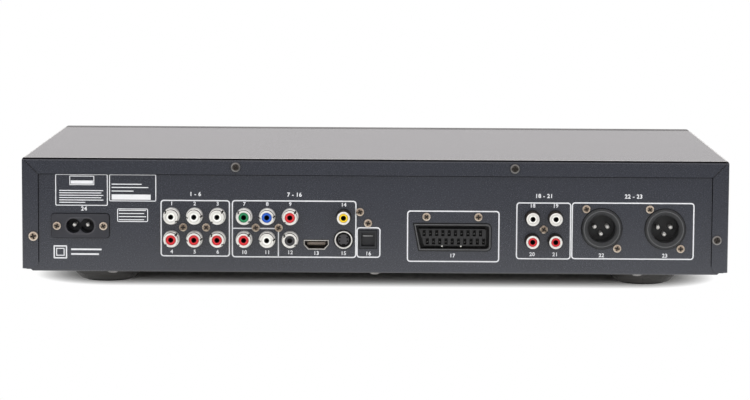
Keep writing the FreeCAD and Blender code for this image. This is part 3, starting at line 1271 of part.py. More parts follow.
def knob(x):
    """Fluted knob with a pointer line and a stem that turns in the control behind it."""
    tip = KNOB_R * KNOB_TIP_SHARE
    stem = POT_BUSH_PROUD - POT_BORE_DEPTH + STEM_TIP_GAP - KNOB_GAP
    body = turned([(0, stem), (STEM_R, stem), (STEM_R, KNOB_HOLLOW), (KNOB_HOLLOW_R, KNOB_HOLLOW),
                   (KNOB_HOLLOW_R, 0), (KNOB_R, 0), (tip, KNOB_LENGTH - KNOB_ROUND),
                   (tip - KNOB_ROUND, KNOB_LENGTH), (0, KNOB_LENGTH)])
    cutters = []
    for step in range(KNOB_FLUTES):
        turn = 2 * math.pi * (step + 0.5) / KNOB_FLUTES
        cutters.append(pin_z(KNOB_R * math.cos(turn), KNOB_R * math.sin(turn), KNOB_FLUTE_R, KNOB_ROUND,
                             KNOB_LENGTH + OVERRUN))
    cutters.append(box(-KNOB_MARK_WIDTH / 2, KNOB_MARK_WIDTH / 2, KNOB_MARK_SHARE * tip, KNOB_R,
                       KNOB_LENGTH - KNOB_MARK_DEPTH, KNOB_LENGTH + OVERRUN))
    return stood(without(body, cutters), Vector(x, front_y - KNOB_GAP, knob_z), Vector(0, -1, 0))


def keys():
    """Keys that slide in the front panel, and the rocker that skips both ways."""
    parts = {}
    flange_y = wall_y + FIT
    for name, (x, z, width, height) in key_sizes().items():
        proud_y = front_y - KEY_PROUD
        if name == "skip_rocker":
            cap = plate_y(x, z, width, height, KEY_ROUND, proud_y, wall_y + SKIP_DEPTH)
            pin_half = height / 2 + FIT + SKIP_POST_WALL
            reach = skip_arm * math.sin(math.radians(SKIP_TILT)) + PRESS_GAP
            pieces = [pin_z(x, rocker_y, SKIP_PIN_R, z - pin_half, z + pin_half)]
            for side in (-1, 1):
                pieces.append(pin_y(x + side * skip_arm, z, KEY_STEM_R, wall_y, plunger_y - reach))
        else:
            cap = plate_y(x, z, width, height, KEY_ROUND, proud_y, flange_y)
            pieces = [plate_y(x, z, width + 2 * KEY_LIP, height + 2 * KEY_LIP, KEY_ROUND, flange_y,
                              flange_y + KEY_FLANGE),
                      pin_y(x, z, KEY_STEM_R, flange_y, plunger_y - KEY_TRAVEL - PRESS_GAP)]
        face_edges = [edge for edge in cap.Edges if edge.BoundBox.YMax < proud_y + KEY_EDGE]
        parts[name] = fused([cap.makeChamfer(KEY_EDGE, face_edges)] + pieces)
    proud = POWER_PROUD + FRONT_WALL + FIT
    lip = POWER_R + KEY_LIP
    end = plunger_y - POWER_TRAVEL - PRESS_GAP - flange_y
    power = turned([(0, -end), (KEY_STEM_R, -end), (KEY_STEM_R, -KEY_FLANGE), (lip, -KEY_FLANGE), (lip, 0),
                    (POWER_R, 0), (POWER_R, proud - KEY_EDGE), (POWER_R - KEY_EDGE, proud), (0, proud)])
    parts["power_button"] = stood(power, Vector(power_x, flange_y, power_z), Vector(0, -1, 0))
    return parts


def key_switches():
    """Switches on the front board, one behind each key and one at each end of the rocker."""
    places = [(x, z) for name, (x, z, width, height) in key_sizes().items() if name != "skip_rocker"]
    places += [(skip_x + side * skip_arm, key_z) for side in (-1, 1)]
    places.append((power_x, power_z))
    half = SWITCH_SIZE / 2
    switches = []
    for x, z in places:
        body = box(x - half, x + half, control_y - SWITCH_HEIGHT, control_y, z - half, z + half)
        switches.append(fused([body, pin_y(x, z, PLUNGER_R, plunger_y, control_y - SWITCH_HEIGHT)]))
    return group(switches)


def front_boards():
    """Stepped board behind the window and the keys, and the display on it."""
    left = -WINDOW_WIDTH / 2
    outline = [(left, control_low_z), (front_board_right, control_low_z),
               (front_board_right, control_high_z), (front_board_step, control_high_z),
               (front_board_step, front_board_top), (left, front_board_top)]
    board = prism_y(outline, control_y, control_y + BOARD)
    display = box(left + DISPLAY_MARGIN, -left - DISPLAY_MARGIN, control_y - DISPLAY_DEPTH, control_y,
                  window_z - WINDOW_HEIGHT / 2 + DISPLAY_EDGE, window_z + WINDOW_HEIGHT / 2 - DISPLAY_EDGE)
    window = plate_y(0, window_z, WINDOW_WIDTH, WINDOW_HEIGHT, WINDOW_ROUND, front_y,
                     front_y + WINDOW_THICKNESS)
    return {"front_board": without(board, control_bores()), "display_module": display,
            "display_window": window}


def disc_tray():
    """Sliding tray with a stepped disc pocket, a slot for the turntable and a rack below."""
    half = TRAY_WIDTH / 2
    slab = box(-half, half, tray_front_y, tray_back_y, tray_z, tray_top_z)
    slab = slab.makeFillet(TRAY_CORNER, edges_along(slab, Z_AXIS, lambda point: point.y > disc_y))
    slot = TRAY_SLOT_WIDTH / 2
    low = tray_z - OVERRUN
    high = tray_top_z + OVERRUN
    cutters = [pin_z(0, disc_y, DISC_R + POCKET_GAP, pocket_z, high),
               pin_z(0, disc_y, INNER_POCKET_R, tray_top_z - INNER_POCKET, high),
               fused([pin_z(0, disc_y, slot, low, high),
                      box(-slot, slot, disc_y, tray_back_y + OVERRUN, low, high)])]
    back_x = rack_x - DEDENDUM_SHARE * RACK_MODULE - RACK_BACK
    teeth = rack(RACK_MODULE, rack_x, 1, back_x, gear_y, tray_front_y + RACK_MARGIN,
                 tray_back_y - RACK_MARGIN, rack_z, tray_z)
    return fused([without(slab, cutters), teeth])


def tray_trim():
    """Strip on the front of the tray that closes the panel's opening."""
    trim = plate_y(0, trim_z, TRIM_WIDTH, trim_high_z - trim_low_z, TRIM_ROUND, front_y, tray_front_y)
    face_edges = [edge for edge in trim.Edges if edge.BoundBox.YMax < front_y + TRIM_ROUND / 2]
    return trim.makeChamfer(TRIM_ROUND / 2, face_edges)


def loader_frame():
    """Open frame that guides the tray, hinges the deck and carries the tray's drive."""
    inner = frame_half - FRAME_WALL
    shell = box(-frame_half, frame_half, frame_front_y, frame_back_y, frame_z, frame_top_z)
    room = box(-inner, inner, frame_front_y - OVERRUN, frame_back_y - FRAME_WALL, frame_floor_z,
               frame_top_z + OVERRUN)
    opening = box(-deck_half - DECK_GAP, deck_half + DECK_GAP, deck_front_y - DECK_END_GAP,
                  hinge_y + EAR_R + DECK_END_GAP, frame_z - OVERRUN, frame_floor_z + OVERRUN)
    pieces = [without(shell, [room, opening])]
    for side in (-1, 1):
        edge = side * inner
        ledge_x = sorted((edge, edge - side * LEDGE))
        for low in (tray_z - SLIDE_GAP - LEDGE_THICKNESS, tray_top_z + SLIDE_GAP):
            pieces.append(box(ledge_x[0], ledge_x[1], frame_front_y, frame_back_y,
                              low, low + LEDGE_THICKNESS))
        post_x = sorted((side * (deck_half + DECK_GAP), side * (deck_half + DECK_GAP + HINGE_POST)))
        pieces.append(box(post_x[0], post_x[1], hinge_y - HINGE_POST_R, hinge_y + HINGE_POST_R,
                          frame_floor_z, hinge_z))
        pieces.append(pin_x(hinge_y, hinge_z, HINGE_POST_R, post_x[0], post_x[1]))
    pieces += [pin_z(x, y, LEG_R, floor_z, frame_z) for x, y in leg_places]
    pieces.append(pin_z(gear_x, gear_y, GEAR_COLLAR_R, frame_floor_z, wheel_z - FIT))
    pieces.append(pin_z(gear_x, gear_y, GEAR_POST_R, frame_floor_z, tray_z - WHEEL_GAP))
    reach = deck_half + DECK_GAP + HINGE_POST + OVERRUN
    bores = [pin_x(hinge_y, hinge_z, HINGE_R + RUNNING_GAP, -reach, reach)]
    bores += [pin_z(x, y, case_hole_r(), floor_z - OVERRUN, floor_z + SCREW_LENGTH) for x, y in leg_places]
    return without(fused(pieces), bores)


def tray_drive():
    """Motor, its pinion and the stepped gear that drives the rack."""
    wheel_top = wheel_z + WHEEL_THICKNESS
    wheel = gear(DRIVE_MODULE, WHEEL_TEETH, 0, gear_x, gear_y, wheel_z, wheel_top)
    top = gear(RACK_MODULE, RACK_TEETH, 0, gear_x, gear_y, wheel_top, tray_z - SLIDE_GAP)
    bore = pin_z(gear_x, gear_y, GEAR_POST_R + RUNNING_GAP, wheel_z - OVERRUN, tray_z)
    pinion = gear(DRIVE_MODULE, PINION_TEETH, 180 + 180 / PINION_TEETH, pinion_x, gear_y, wheel_z, wheel_top)
    pinion = without(pinion, [pin_z(pinion_x, gear_y, MOTOR_SHAFT_R + RUNNING_GAP, wheel_z - OVERRUN,
                                    wheel_top + OVERRUN)])
    can = pin_z(pinion_x, gear_y, TRAY_MOTOR_R, frame_floor_z, frame_floor_z + TRAY_MOTOR)
    shaft = pin_z(pinion_x, gear_y, MOTOR_SHAFT_R, frame_floor_z + TRAY_MOTOR, wheel_top)
    return {"tray_gear": without(fused([wheel, top]), [bore]), "motor_pinion": pinion,
            "tray_motor": fused([can, shaft])}


def traverse_deck():
    """Hinged plate with a window for the pickup, posts for the rods and pins for the hinge."""
    plate = box(-deck_half, deck_half, deck_front_y, hinge_y, deck_z - DECK, deck_z)
    pieces = [plate]
    for side in (-1, 1):
        ear_x = sorted((side * deck_half, side * (deck_half - EAR)))
        pieces.append(pin_x(hinge_y, hinge_z, EAR_R, ear_x[0], ear_x[1]))
        tip_x = sorted((side * (deck_half - EAR), side * (deck_half + DECK_GAP + HINGE_POST)))
        pieces.append(pin_x(hinge_y, hinge_z, HINGE_R, tip_x[0], tip_x[1]))
        rib_x = sorted((side * deck_half, side * (deck_half - DECK)))
        pieces.append(box(rib_x[0], rib_x[1], deck_front_y, hinge_y, deck_z - DECK - DECK_RIB, deck_z))
        for y0, y1 in ((rod_front_y - ROD_END, rod_front_y), (rod_back_y, rod_back_y + ROD_END)):
            pieces.append(box(side * ROD_X - ROD_POST_WIDTH / 2, side * ROD_X + ROD_POST_WIDTH / 2, y0, y1,
                              deck_z, deck_z + SLED_LIFT + SLED_BLOCK))
    deck = fused(pieces)
    window = DECK_WINDOW_WIDTH / 2
    cutters = [box(-window, window, home_y - SLED_LENGTH / 2 + DECK_WINDOW_MARGIN, rod_back_y
                   - DECK_WINDOW_MARGIN, deck_z - DECK - OVERRUN, deck_z + OVERRUN),
               pin_z(0, disc_y, SPINDLE_R + FIT, deck_z - DECK - OVERRUN, deck_z + OVERRUN),
               pin_z(feed_x, feed_y, MOTOR_SHAFT_R + FIT, deck_z - DECK - OVERRUN, deck_z + OVERRUN)]
    cutters += [pin_y(side * ROD_X, rod_z, ROD_R + RUNNING_GAP, rod_front_y - ROD_END - OVERRUN,
                      rod_back_y + ROD_END + OVERRUN) for side in (-1, 1)]
    return without(deck, cutters)


def deck_parts():
    """Everything on the disc deck, as it hangs while the tray moves."""
    under = deck_z - DECK
    seat_low = seat_z - SEAT
    feed_low = rod_z - FEED_HEIGHT / 2
    feed_high = rod_z + FEED_HEIGHT / 2
    spindle = fused([pin_z(0, disc_y, SPINDLE_MOTOR_R, under - SPINDLE_MOTOR, under),
                     pin_z(0, disc_y, SPINDLE_R, under, seat_z)])
    feed = fused([pin_z(feed_x, feed_y, FEED_MOTOR_R, under - FEED_MOTOR, under),
                  pin_z(feed_x, feed_y, MOTOR_SHAFT_R, under, feed_high)])
    bore = SPINDLE_R + RUNNING_GAP
    table = turned([(bore, deck_z + FIT), (NECK_R, deck_z + FIT), (NECK_R, seat_low), (SEAT_R, seat_low),
                    (SEAT_R, seat_z), (HUB_R, seat_z), (HUB_R, seat_z + HUB - HUB_CHAMFER),
                    (HUB_R - HUB_CHAMFER, seat_z + HUB), (bore, seat_z + HUB)])
    table.translate(Vector(0, disc_y, 0))
    low = deck_z + SLED_LIFT
    sled_y = (home_y - SLED_LENGTH / 2, home_y + SLED_LENGTH / 2)
    block_x = ROD_X + ROD_BLOCK / 2
    pieces = [box(-block_x, block_x, sled_y[0], sled_y[1], low, low + SLED_BLOCK),
              box(-SLED_WIDTH / 2, SLED_WIDTH / 2, sled_y[0], sled_y[1], low, deck_z + SLED_TOP),
              pin_z(0, home_y, LENS_R, deck_z + SLED_TOP, deck_z + SLED_TOP + LENS),
              rack(DRIVE_MODULE, feed_pitch_x, -1, -block_x, feed_y, sled_y[0] - FEED_OVERHANG,
                   sled_y[1] + FEED_OVERHANG, feed_low, feed_high)]
    sled = without(fused(pieces), [pin_y(side * ROD_X, rod_z, ROD_R + RUNNING_GAP, sled_y[0] - OVERRUN,
                                         sled_y[1] + OVERRUN) for side in (-1, 1)])
    rod_ends = (rod_front_y - ROD_END, rod_back_y + ROD_END)
    rods = [pin_y(side * ROD_X, rod_z, ROD_R, rod_ends[0], rod_ends[1]) for side in (-1, 1)]
    wheel = gear(DRIVE_MODULE, PINION_TEETH, 0, feed_x, feed_y, feed_low, feed_high)
    wheel = without(wheel, [pin_z(feed_x, feed_y, MOTOR_SHAFT_R + RUNNING_GAP, feed_low - OVERRUN,
                                  feed_high + OVERRUN)])
    raised = {"traverse_deck": traverse_deck(), "deck_motors": group([spindle, feed]), "turntable": table,
              "pickup_sled": sled, "guide_rods": group(rods), "feed_gear": wheel}
    return {name: lowered(shape) for name, shape in raised.items()}


def clamper_parts():
    """Bridge over the tray and the clamper that hangs in it."""
    top = frame_top_z + BRIDGE
    bridge = box(-frame_half, frame_half, disc_y - BRIDGE_WIDTH / 2, disc_y + BRIDGE_WIDTH / 2,
                 frame_top_z, top)
    ribs = []
    for side in (-1, 1):
        rib_y = disc_y + side * (BRIDGE_WIDTH - BRIDGE) / 2
        ribs.append(box(-frame_half, frame_half, rib_y - BRIDGE / 2, rib_y + BRIDGE / 2,
                        top, top + BRIDGE_RIB))
    hole = pin_z(0, disc_y, CLAMPER_R + CLAMPER_GAP, frame_top_z - OVERRUN, top + OVERRUN)
    low = frame_top_z - CLAMPER_DROP
    flange = top + FIT
    clamper = turned([(0, low + CLAMPER_DISH), (CLAMPER_DISH_R, low + CLAMPER_DISH), (CLAMPER_DISH_R, low),
                      (CLAMPER_R, low), (CLAMPER_R, flange), (CLAMPER_FLANGE_R, flange),
                      (CLAMPER_FLANGE_R, flange + CLAMPER_FLANGE), (0, flange + CLAMPER_FLANGE)])
    clamper.translate(Vector(0, disc_y, 0))
    return {"clamper_bridge": without(fused([bridge] + ribs), [hole]), "clamper": clamper}


def all_parts():
    """Every piece of the player by name."""
    parts = {"base_tray": base_tray(), "rear_panel": rear_panel(), "top_cover": top_cover(),
             "front_panel": front_panel(), "feet": feet(), "foot_pads": foot_pads(),
             "case_screws": case_screws(), "jack_screws": jack_screws(),
             "surround_jack_block": jack_block(surround_x, SURROUND_COLUMNS, surround_screws),
             "av_jack_block": av_jack_block(),
             "karaoke_jack_block": jack_block(karaoke_x, KARAOKE_COLUMNS, karaoke_screws),
             "jack_shells": jack_shells(), "scart_socket": scart_socket(),
             "av_board": rear_board(av_board_span, board_front_y, board_back_y, board_screws),
             "karaoke_board": rear_board(karaoke_board_span, board_front_y, board_back_y, board_screws),
             "power_board": rear_board(power_board_span, power_front_y, power_back_y, board_screws),
             "power_parts": power_parts(), "key_switches": key_switches(), "disc_tray": disc_tray(),
             "tray_trim": tray_trim(), "loader_frame": loader_frame()}
    for name, x in zip(("knob_mic_1", "knob_mic_2", "knob_echo"), knob_places):
        parts[name] = knob(x)
    for pieces in (jack_inserts(), hdmi_socket(), optical_parts(), xlr_parts(), mains_parts(), mic_parts(),
                   keys(), front_boards(), tray_drive(), deck_parts(), clamper_parts()):
        parts.update(pieces)
    return parts


os.makedirs("parts", exist_ok=True)
for part_name, part_shape in all_parts().items():
    part_shape.exportStep("parts/" + part_name + ".step")
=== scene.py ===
import logging
import math
from dataclasses import dataclass
from enum import Enum, IntEnum

import bmesh
import bpy
from mathutils import Matrix, Vector, geometry


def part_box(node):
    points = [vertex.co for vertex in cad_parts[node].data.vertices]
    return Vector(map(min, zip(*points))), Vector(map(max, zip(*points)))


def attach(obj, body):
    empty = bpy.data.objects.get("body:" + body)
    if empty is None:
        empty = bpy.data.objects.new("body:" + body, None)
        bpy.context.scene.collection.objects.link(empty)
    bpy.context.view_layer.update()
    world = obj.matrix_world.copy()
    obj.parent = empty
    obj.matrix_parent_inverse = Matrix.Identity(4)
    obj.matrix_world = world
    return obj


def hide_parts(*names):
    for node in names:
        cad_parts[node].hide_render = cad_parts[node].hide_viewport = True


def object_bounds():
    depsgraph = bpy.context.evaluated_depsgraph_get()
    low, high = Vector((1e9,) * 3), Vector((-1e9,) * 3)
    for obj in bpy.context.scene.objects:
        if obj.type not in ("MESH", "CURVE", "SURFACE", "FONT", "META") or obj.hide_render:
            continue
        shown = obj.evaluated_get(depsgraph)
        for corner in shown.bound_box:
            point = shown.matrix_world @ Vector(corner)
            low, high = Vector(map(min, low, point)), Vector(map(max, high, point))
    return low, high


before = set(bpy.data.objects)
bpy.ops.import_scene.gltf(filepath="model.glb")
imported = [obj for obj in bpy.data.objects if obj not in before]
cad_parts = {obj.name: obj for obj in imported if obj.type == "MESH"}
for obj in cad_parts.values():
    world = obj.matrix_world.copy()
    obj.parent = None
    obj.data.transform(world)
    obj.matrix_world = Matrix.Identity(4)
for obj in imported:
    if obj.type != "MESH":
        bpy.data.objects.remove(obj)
CAD_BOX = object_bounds()

MM = 0.001  # metres in a millimetre; lengths below are in millimetres
INK = 0.06  # thickness of prints and seams
TOUCH = 0.05  # points this close to a face or a radius lie on it
SLIVER = 1e-6  # edges this short are dissolved
MERGE = 1e-5  # points of a turned solid this close become one
WELD = 1e-4  # points of figures and CAD meshes this close become one
FIT_TOP = 69.0  # top of the cover in the frame of the camera and the back print
LOG = logging.getLogger("karaoke_machine")

Colour = tuple[float, float, float]
Size = tuple[float, float, float]
Spot = tuple[float, float]
Edges = tuple[float, float, float, float]
Solid = list[Vector]
BMesh = bmesh.types.BMesh
Node = bpy.types.Node
Socket = bpy.types.NodeSocket
Sockets = dict[str, Socket]
WHITE: Colour = (1.0, 1.0, 1.0)


class Face(Enum):
    """Sides of the case that carry prints; a value turns (right, up, out) into the machine's axes."""

    BACK = ((-1, 0, 0), (0, 0, 1), (0, 1, 0))
    FRONT = ((1, 0, 0), (0, 0, -1), (0, 1, 0))

    def place(self, x: float, y: float, z: float) -> Matrix:
        """Gives the matrix for what lies on this side with its zero point at these coordinates."""
        return Matrix.Translation((x, y, z)) @ Matrix(self.value).to_4x4()


class Effect(Enum):
    """Shared shader node groups."""

    SPECKLE = "speckle"
    GRAIN = "grain"
    BRUSHED = "brushed"
    DUST = "dust"
    # Painted shade and highlight in the bends of the sheet.
    BEND_SHADE_AND_GLINT = "fold"


class Kind(Enum):
    """Kinds of sockets on the node groups."""

    COLOUR = "NodeSocketColor"
    VALUE = "NodeSocketFloat"
    VECTOR = "NodeSocketVector"


class Coat(IntEnum):
    """Slots of a piece with several finishes."""

    MAIN = 0
    SHADE = 1
    BLACK = 2
    # Painted shade on the middle of a screw head.
    CENTRE_SHADE = 3


@dataclass(frozen=True)
class Patches:
    """Soft patches: spots per metre, the noise levels that they run between and what they give there."""

    scale: float
    low: float
    high: float
    least: float = 0.0
    most: float = 1.0
    detail: float = 3.0
    roughness: float = 0.5


class Graph:
    """Nodes of one material, node group or world."""

    # Places of the share and the two colours among a Mix node's inputs, and of the colour it gives.
    MIX_INPUTS = (0, 6, 7)
    MIX_OUTPUT = 2

    def __init__(self, tree: bpy.types.NodeTree) -> None:
        """Takes the tree that gets the nodes."""
        self.tree = tree

    def fill(self, target: Socket, value: object) -> None:
        """Links a socket to an input or sets a value there.

        Args:
            target: The input.
            value: A socket, a number, a vector or a colour.
        """
        if isinstance(value, Socket):
            self.tree.links.new(value, target)
        else:
            target.default_value = (*value, 1.0) if target.type == "RGBA" else value

    def add(self, kind: str, *values: object, **inputs: object) -> Node:
        """Adds a node and fills its inputs.

        Args:
            kind: Blender's name of the node type.
            values: What goes into its first inputs, in order.
            inputs: What goes into named inputs, with spaces as underscores.

        Returns:
            The new node.
        """
        made = self.tree.nodes.new(kind)
        for target, value in zip(made.inputs, values):
            self.fill(target, value)
        for name, value in inputs.items():
            self.fill(made.inputs[name.replace("_", " ")], value)
        return made

    def maths(self, operation: str, *values: object) -> Socket:
        """Works out an operation on sockets or numbers.

        Args:
            operation: Name of the operation.
            values: What it works on.

        Returns:
            The result.
        """
        made = self.add("ShaderNodeMath", *values)
        made.operation = operation
        return made.outputs[0]

    def times(self, first: object, *others: object) -> Socket:
        """Multiplies sockets or numbers.

        Args:
            first: First factor.
            others: Other factors.

        Returns:
            The product.
        """
        for other in others:
            first = self.maths("MULTIPLY", first, other)
        return first

    def spread(self, value: Socket, low: float, high: float, to_low: float = 0.0,
               to_high: float = 1.0) -> Socket:
        """Maps a value from the range low to high to another range."""
        return self.add("ShaderNodeMapRange", value, low, high, to_low, to_high).outputs[0]

    def band(self, value: Socket, start: float, full: float, fade: float, end: float) -> Socket:
        """Gives 1 for a value from full to fade, and less towards start and end."""
        return self.times(self.spread(value, start, full), self.spread(value, fade, end, 1.0, 0.0))

    def mixed(self, share: object, first: object, second: object) -> Socket:
        """Mixes two colours.

        Args:
            share: Share of the second colour.
            first: First colour.
            second: Second colour.

        Returns:
            The mixed colour.
        """
        made = self.add("ShaderNodeMix")
        made.data_type = "RGBA"
        for index, value in zip(self.MIX_INPUTS, (share, first, second)):
            self.fill(made.inputs[index], value)
        return made.outputs[self.MIX_OUTPUT]

    def noise(self, vector: Socket, scale: object, detail: float, roughness: float) -> Socket:
        """Gives noise with a number of spots per metre and some levels of finer spots."""
        made = self.add("ShaderNodeTexNoise", Vector=vector, Scale=scale, Detail=detail, Roughness=roughness)
        return made.outputs[0]

    def patches(self, place: Socket, kind: Patches) -> Socket:
        """Gives soft patches of one kind."""
        spots = self.noise(place, kind.scale, kind.detail, kind.roughness)
        return self.spread(spots, kind.low, kind.high, kind.least, kind.most)

    def part(self, vector: Socket, axis: str) -> Socket:
        """Gives one coordinate of a vector."""
        return self.add("ShaderNodeSeparateXYZ", vector).outputs[axis]

    def place(self) -> Socket:
        """Gives the place on the piece."""
        return self.add("ShaderNodeTexCoord").outputs["Object"]

    def ray(self, kind: str) -> Socket:
        """Gives 1 on rays of one kind, such as those that leave a glossy surface."""
        return self.add("ShaderNodeLightPath").outputs[kind]

    def surround_ray(self) -> Socket:
        """Gives 1 on rays that show the surround: from the camera, from gloss and through glass."""
        eye, gloss, glass = map(self.ray, ("Is Camera Ray", "Is Glossy Ray", "Is Transmission Ray"))
        return self.maths("MAXIMUM", self.maths("MAXIMUM", eye, gloss), glass)


class EffectGroup(Graph):
    """Node group of one shared effect."""

    INPUTS = {
        Effect.SPECKLE: {"First": Kind.COLOUR, "Second": Kind.COLOUR, "Scale": Kind.VALUE},
        Effect.GRAIN: {"Scale": Kind.VALUE},
        Effect.BRUSHED: {"Stretch": Kind.VECTOR, "Scale": Kind.VALUE},
        Effect.DUST: {"Amount": Kind.VALUE},
        Effect.BEND_SHADE_AND_GLINT: {"Amount": Kind.VALUE},
    }
    OUTPUTS = {
        Effect.SPECKLE: {"Colour": Kind.COLOUR, "Height": Kind.VALUE},
        Effect.GRAIN: {"Height": Kind.VALUE, "Patches": Kind.VALUE},
        Effect.BRUSHED: {"Lines": Kind.VALUE, "Patches": Kind.VALUE},
        Effect.DUST: {"Mask": Kind.VALUE},
        Effect.BEND_SHADE_AND_GLINT: {"Mask": Kind.VALUE, "Edge": Kind.VALUE},
    }
    BROAD = Patches(9.0, 0.3, 0.7, 0.0, 0.25)
    FLOW = Patches(26.0, 0.3, 0.7)
    TARNISH = Patches(160.0, 0.32, 0.68)
    CLOUDS = Patches(22.0, 0.4, 0.75, detail=5.0, roughness=0.65)
    UNEVEN = Patches(40.0, 0.2, 0.6, 0.9, 1.0, detail=2.0)
    # Detail and roughness of fine noise, noise levels of the dots and their share in the speckle.
    FINE = (3.0, 0.6)
    SPARKED = (2.0, 0.7)
    DOTS = (0.35, 0.68)
    DOT_SHARE = 0.75
    # How far up a surface faces where dust lies, where a bend gets painted shade and where it gets a painted
    # highlight.
    LEVEL = (0.6, 1.0)
    BEND = (0.36, 0.46, 0.93, 0.965)
    BEND_GLINT_BAND = (0.95, 0.97, 0.996, 0.9995)

    def __init__(self, effect: Effect) -> None:
        """Makes the group with its sockets and nodes.

        Args:
            effect: The effect.
        """
        super().__init__(bpy.data.node_groups.new(effect.value, "ShaderNodeTree"))
        for way, table in (("INPUT", self.INPUTS), ("OUTPUT", self.OUTPUTS)):
            for name, kind in table[effect].items():
                self.tree.interface.new_socket(name, in_out=way, socket_type=kind.value)
        start, end = map(self.tree.nodes.new, ("NodeGroupInput", "NodeGroupOutput"))
        self.given: Sockets = {socket.name: socket for socket in start.outputs}
        self.spot = self.place()
        makers = {Effect.SPECKLE: self.speckle, Effect.GRAIN: self.grain, Effect.BRUSHED: self.brushed,
                  Effect.DUST: self.dust, Effect.BEND_SHADE_AND_GLINT: self.fold}
        for name, socket in makers[effect]().items():
            self.fill(end.inputs[name], socket)

    def speckle(self) -> Sockets:
        """Draws the fine dots of a powder coat over faint broad patches.

        Returns:
            The colour of the dots and their height.
        """
        fine = self.noise(self.spot, self.given["Scale"], *self.FINE)
        dots, broad = self.spread(fine, *self.DOTS), self.patches(self.spot, self.BROAD)
        share = self.maths("MULTIPLY_ADD", dots, self.DOT_SHARE, broad)
        return {"Colour": self.mixed(share, self.given["First"], self.given["Second"]), "Height": fine}

    def grain(self) -> Sockets:
        """Draws the sparked skin of a moulding, with smoother patches."""
        height = self.noise(self.spot, self.given["Scale"], *self.SPARKED)
        return {"Height": height, "Patches": self.patches(self.spot, self.FLOW)}

    def brushed(self) -> Sockets:
        """Draws the fine lines of drawn metal, with duller patches.

        Returns:
            The lines and the patches.
        """
        drawn = self.add("ShaderNodeVectorMath", self.spot, self.given["Stretch"])
        drawn.operation = "MULTIPLY"
        lines = self.noise(drawn.outputs[0], self.given["Scale"], *self.FINE)
        return {"Lines": lines, "Patches": self.patches(self.spot, self.TARNISH)}

    def dust(self) -> Sockets:
        """Gathers thin dust in soft clouds on what faces up."""
        lying, clouds = self.spread(self._upward(), *self.LEVEL), self.patches(self.spot, self.CLOUDS)
        return {"Mask": self.times(lying, clouds, self.given["Amount"])}

    def fold(self) -> Sockets:
        """Gives painted shade where upright sheet bends level, and a painted highlight above it.

        Returns:
            The masks of the painted shade and of the painted highlight.
        """
        upward, amount = self._upward(), self.given["Amount"]
        uneven = self.patches(self.spot, self.UNEVEN)
        return {"Mask": self.times(self.band(upward, *self.BEND), uneven, amount),
                "Edge": self.times(self.band(upward, *self.BEND_GLINT_BAND), amount)}

    def _upward(self) -> Socket:
        """Gives how far the surface faces up."""
        return self.part(self.add("ShaderNodeNewGeometry").outputs["Normal"], "Z")


class Surface(Graph):
    """Nodes of one material round its shader."""

    def __init__(self, material: bpy.types.Material) -> None:
        """Turns a material's nodes on and finds its shader.

        Args:
            material: The material.
        """
        material.use_nodes = True
        super().__init__(material.node_tree)
        self.shader = self.tree.nodes["Principled BSDF"]

    def set(self, **inputs: object) -> None:
        """Sets or links inputs of the shader, with spaces as underscores."""
        for name, value in inputs.items():
            self.fill(self.shader.inputs[name.replace("_", " ")], value)

    def effect(self, effect: Effect, **inputs: object) -> Sockets:
        """Places a shared effect in the material.

        Args:
            effect: The effect, whose group is made on first use.
            inputs: Values of the group's inputs.

        Returns:
            The group's outputs.
        """
        made = self.add("ShaderNodeGroup")
        made.node_tree = bpy.data.node_groups.get(effect.value) or EffectGroup(effect).tree
        for name, value in inputs.items():
            self.fill(made.inputs[name], value)
        return {socket.name: socket for socket in made.outputs}

    def bump(self, height: Socket, depth: float, strength: float) -> None:
        """Gives the surface a relief of some depth."""
        made = self.add("ShaderNodeBump", Strength=strength, Distance=depth * MM, Height=height)
        self.set(Normal=made.outputs[0])


@dataclass(frozen=True)
class Finish:
    """A finish of the machine: a name, a colour and its darker or lighter partner."""

    # Levels of the value that changes the gloss, and how far the roughness goes down and up there.
    LEVELS = (0.3, 0.7)
    SHIFT = (0.0, 0.0)
    # Depth and strength of the relief.
    RELIEF = (0.0, 0.0)

    name: str
    colour: Colour
    partner: Colour
    roughness: float = 0.5
    specular: float = 0.5

    def material(self) -> bpy.types.Material:
        """Gives the finish's material.

        Returns:
            The material, made on first use.
        """
        found = bpy.data.materials.get(self.name)
        if found:
            return found
        made = bpy.data.materials.new(self.name)
        made.diffuse_color = (*self.colour, 1.0)
        surface = Surface(made)
        surface.set(Roughness=self.roughness, Specular_IOR_Level=self.specular)
        self.dress(surface)
        return made

    def dress(self, surface: Surface) -> None:
        """Adds the finish's nodes to a material."""
        raise NotImplementedError

    def gloss(self, surface: Surface, value: Socket) -> None:
        """Makes the gloss of a material uneven where a value runs between its levels."""
        ends = (self.roughness - self.SHIFT[0], self.roughness + self.SHIFT[1])
        surface.set(Roughness=surface.spread(value, *self.LEVELS, *ends))


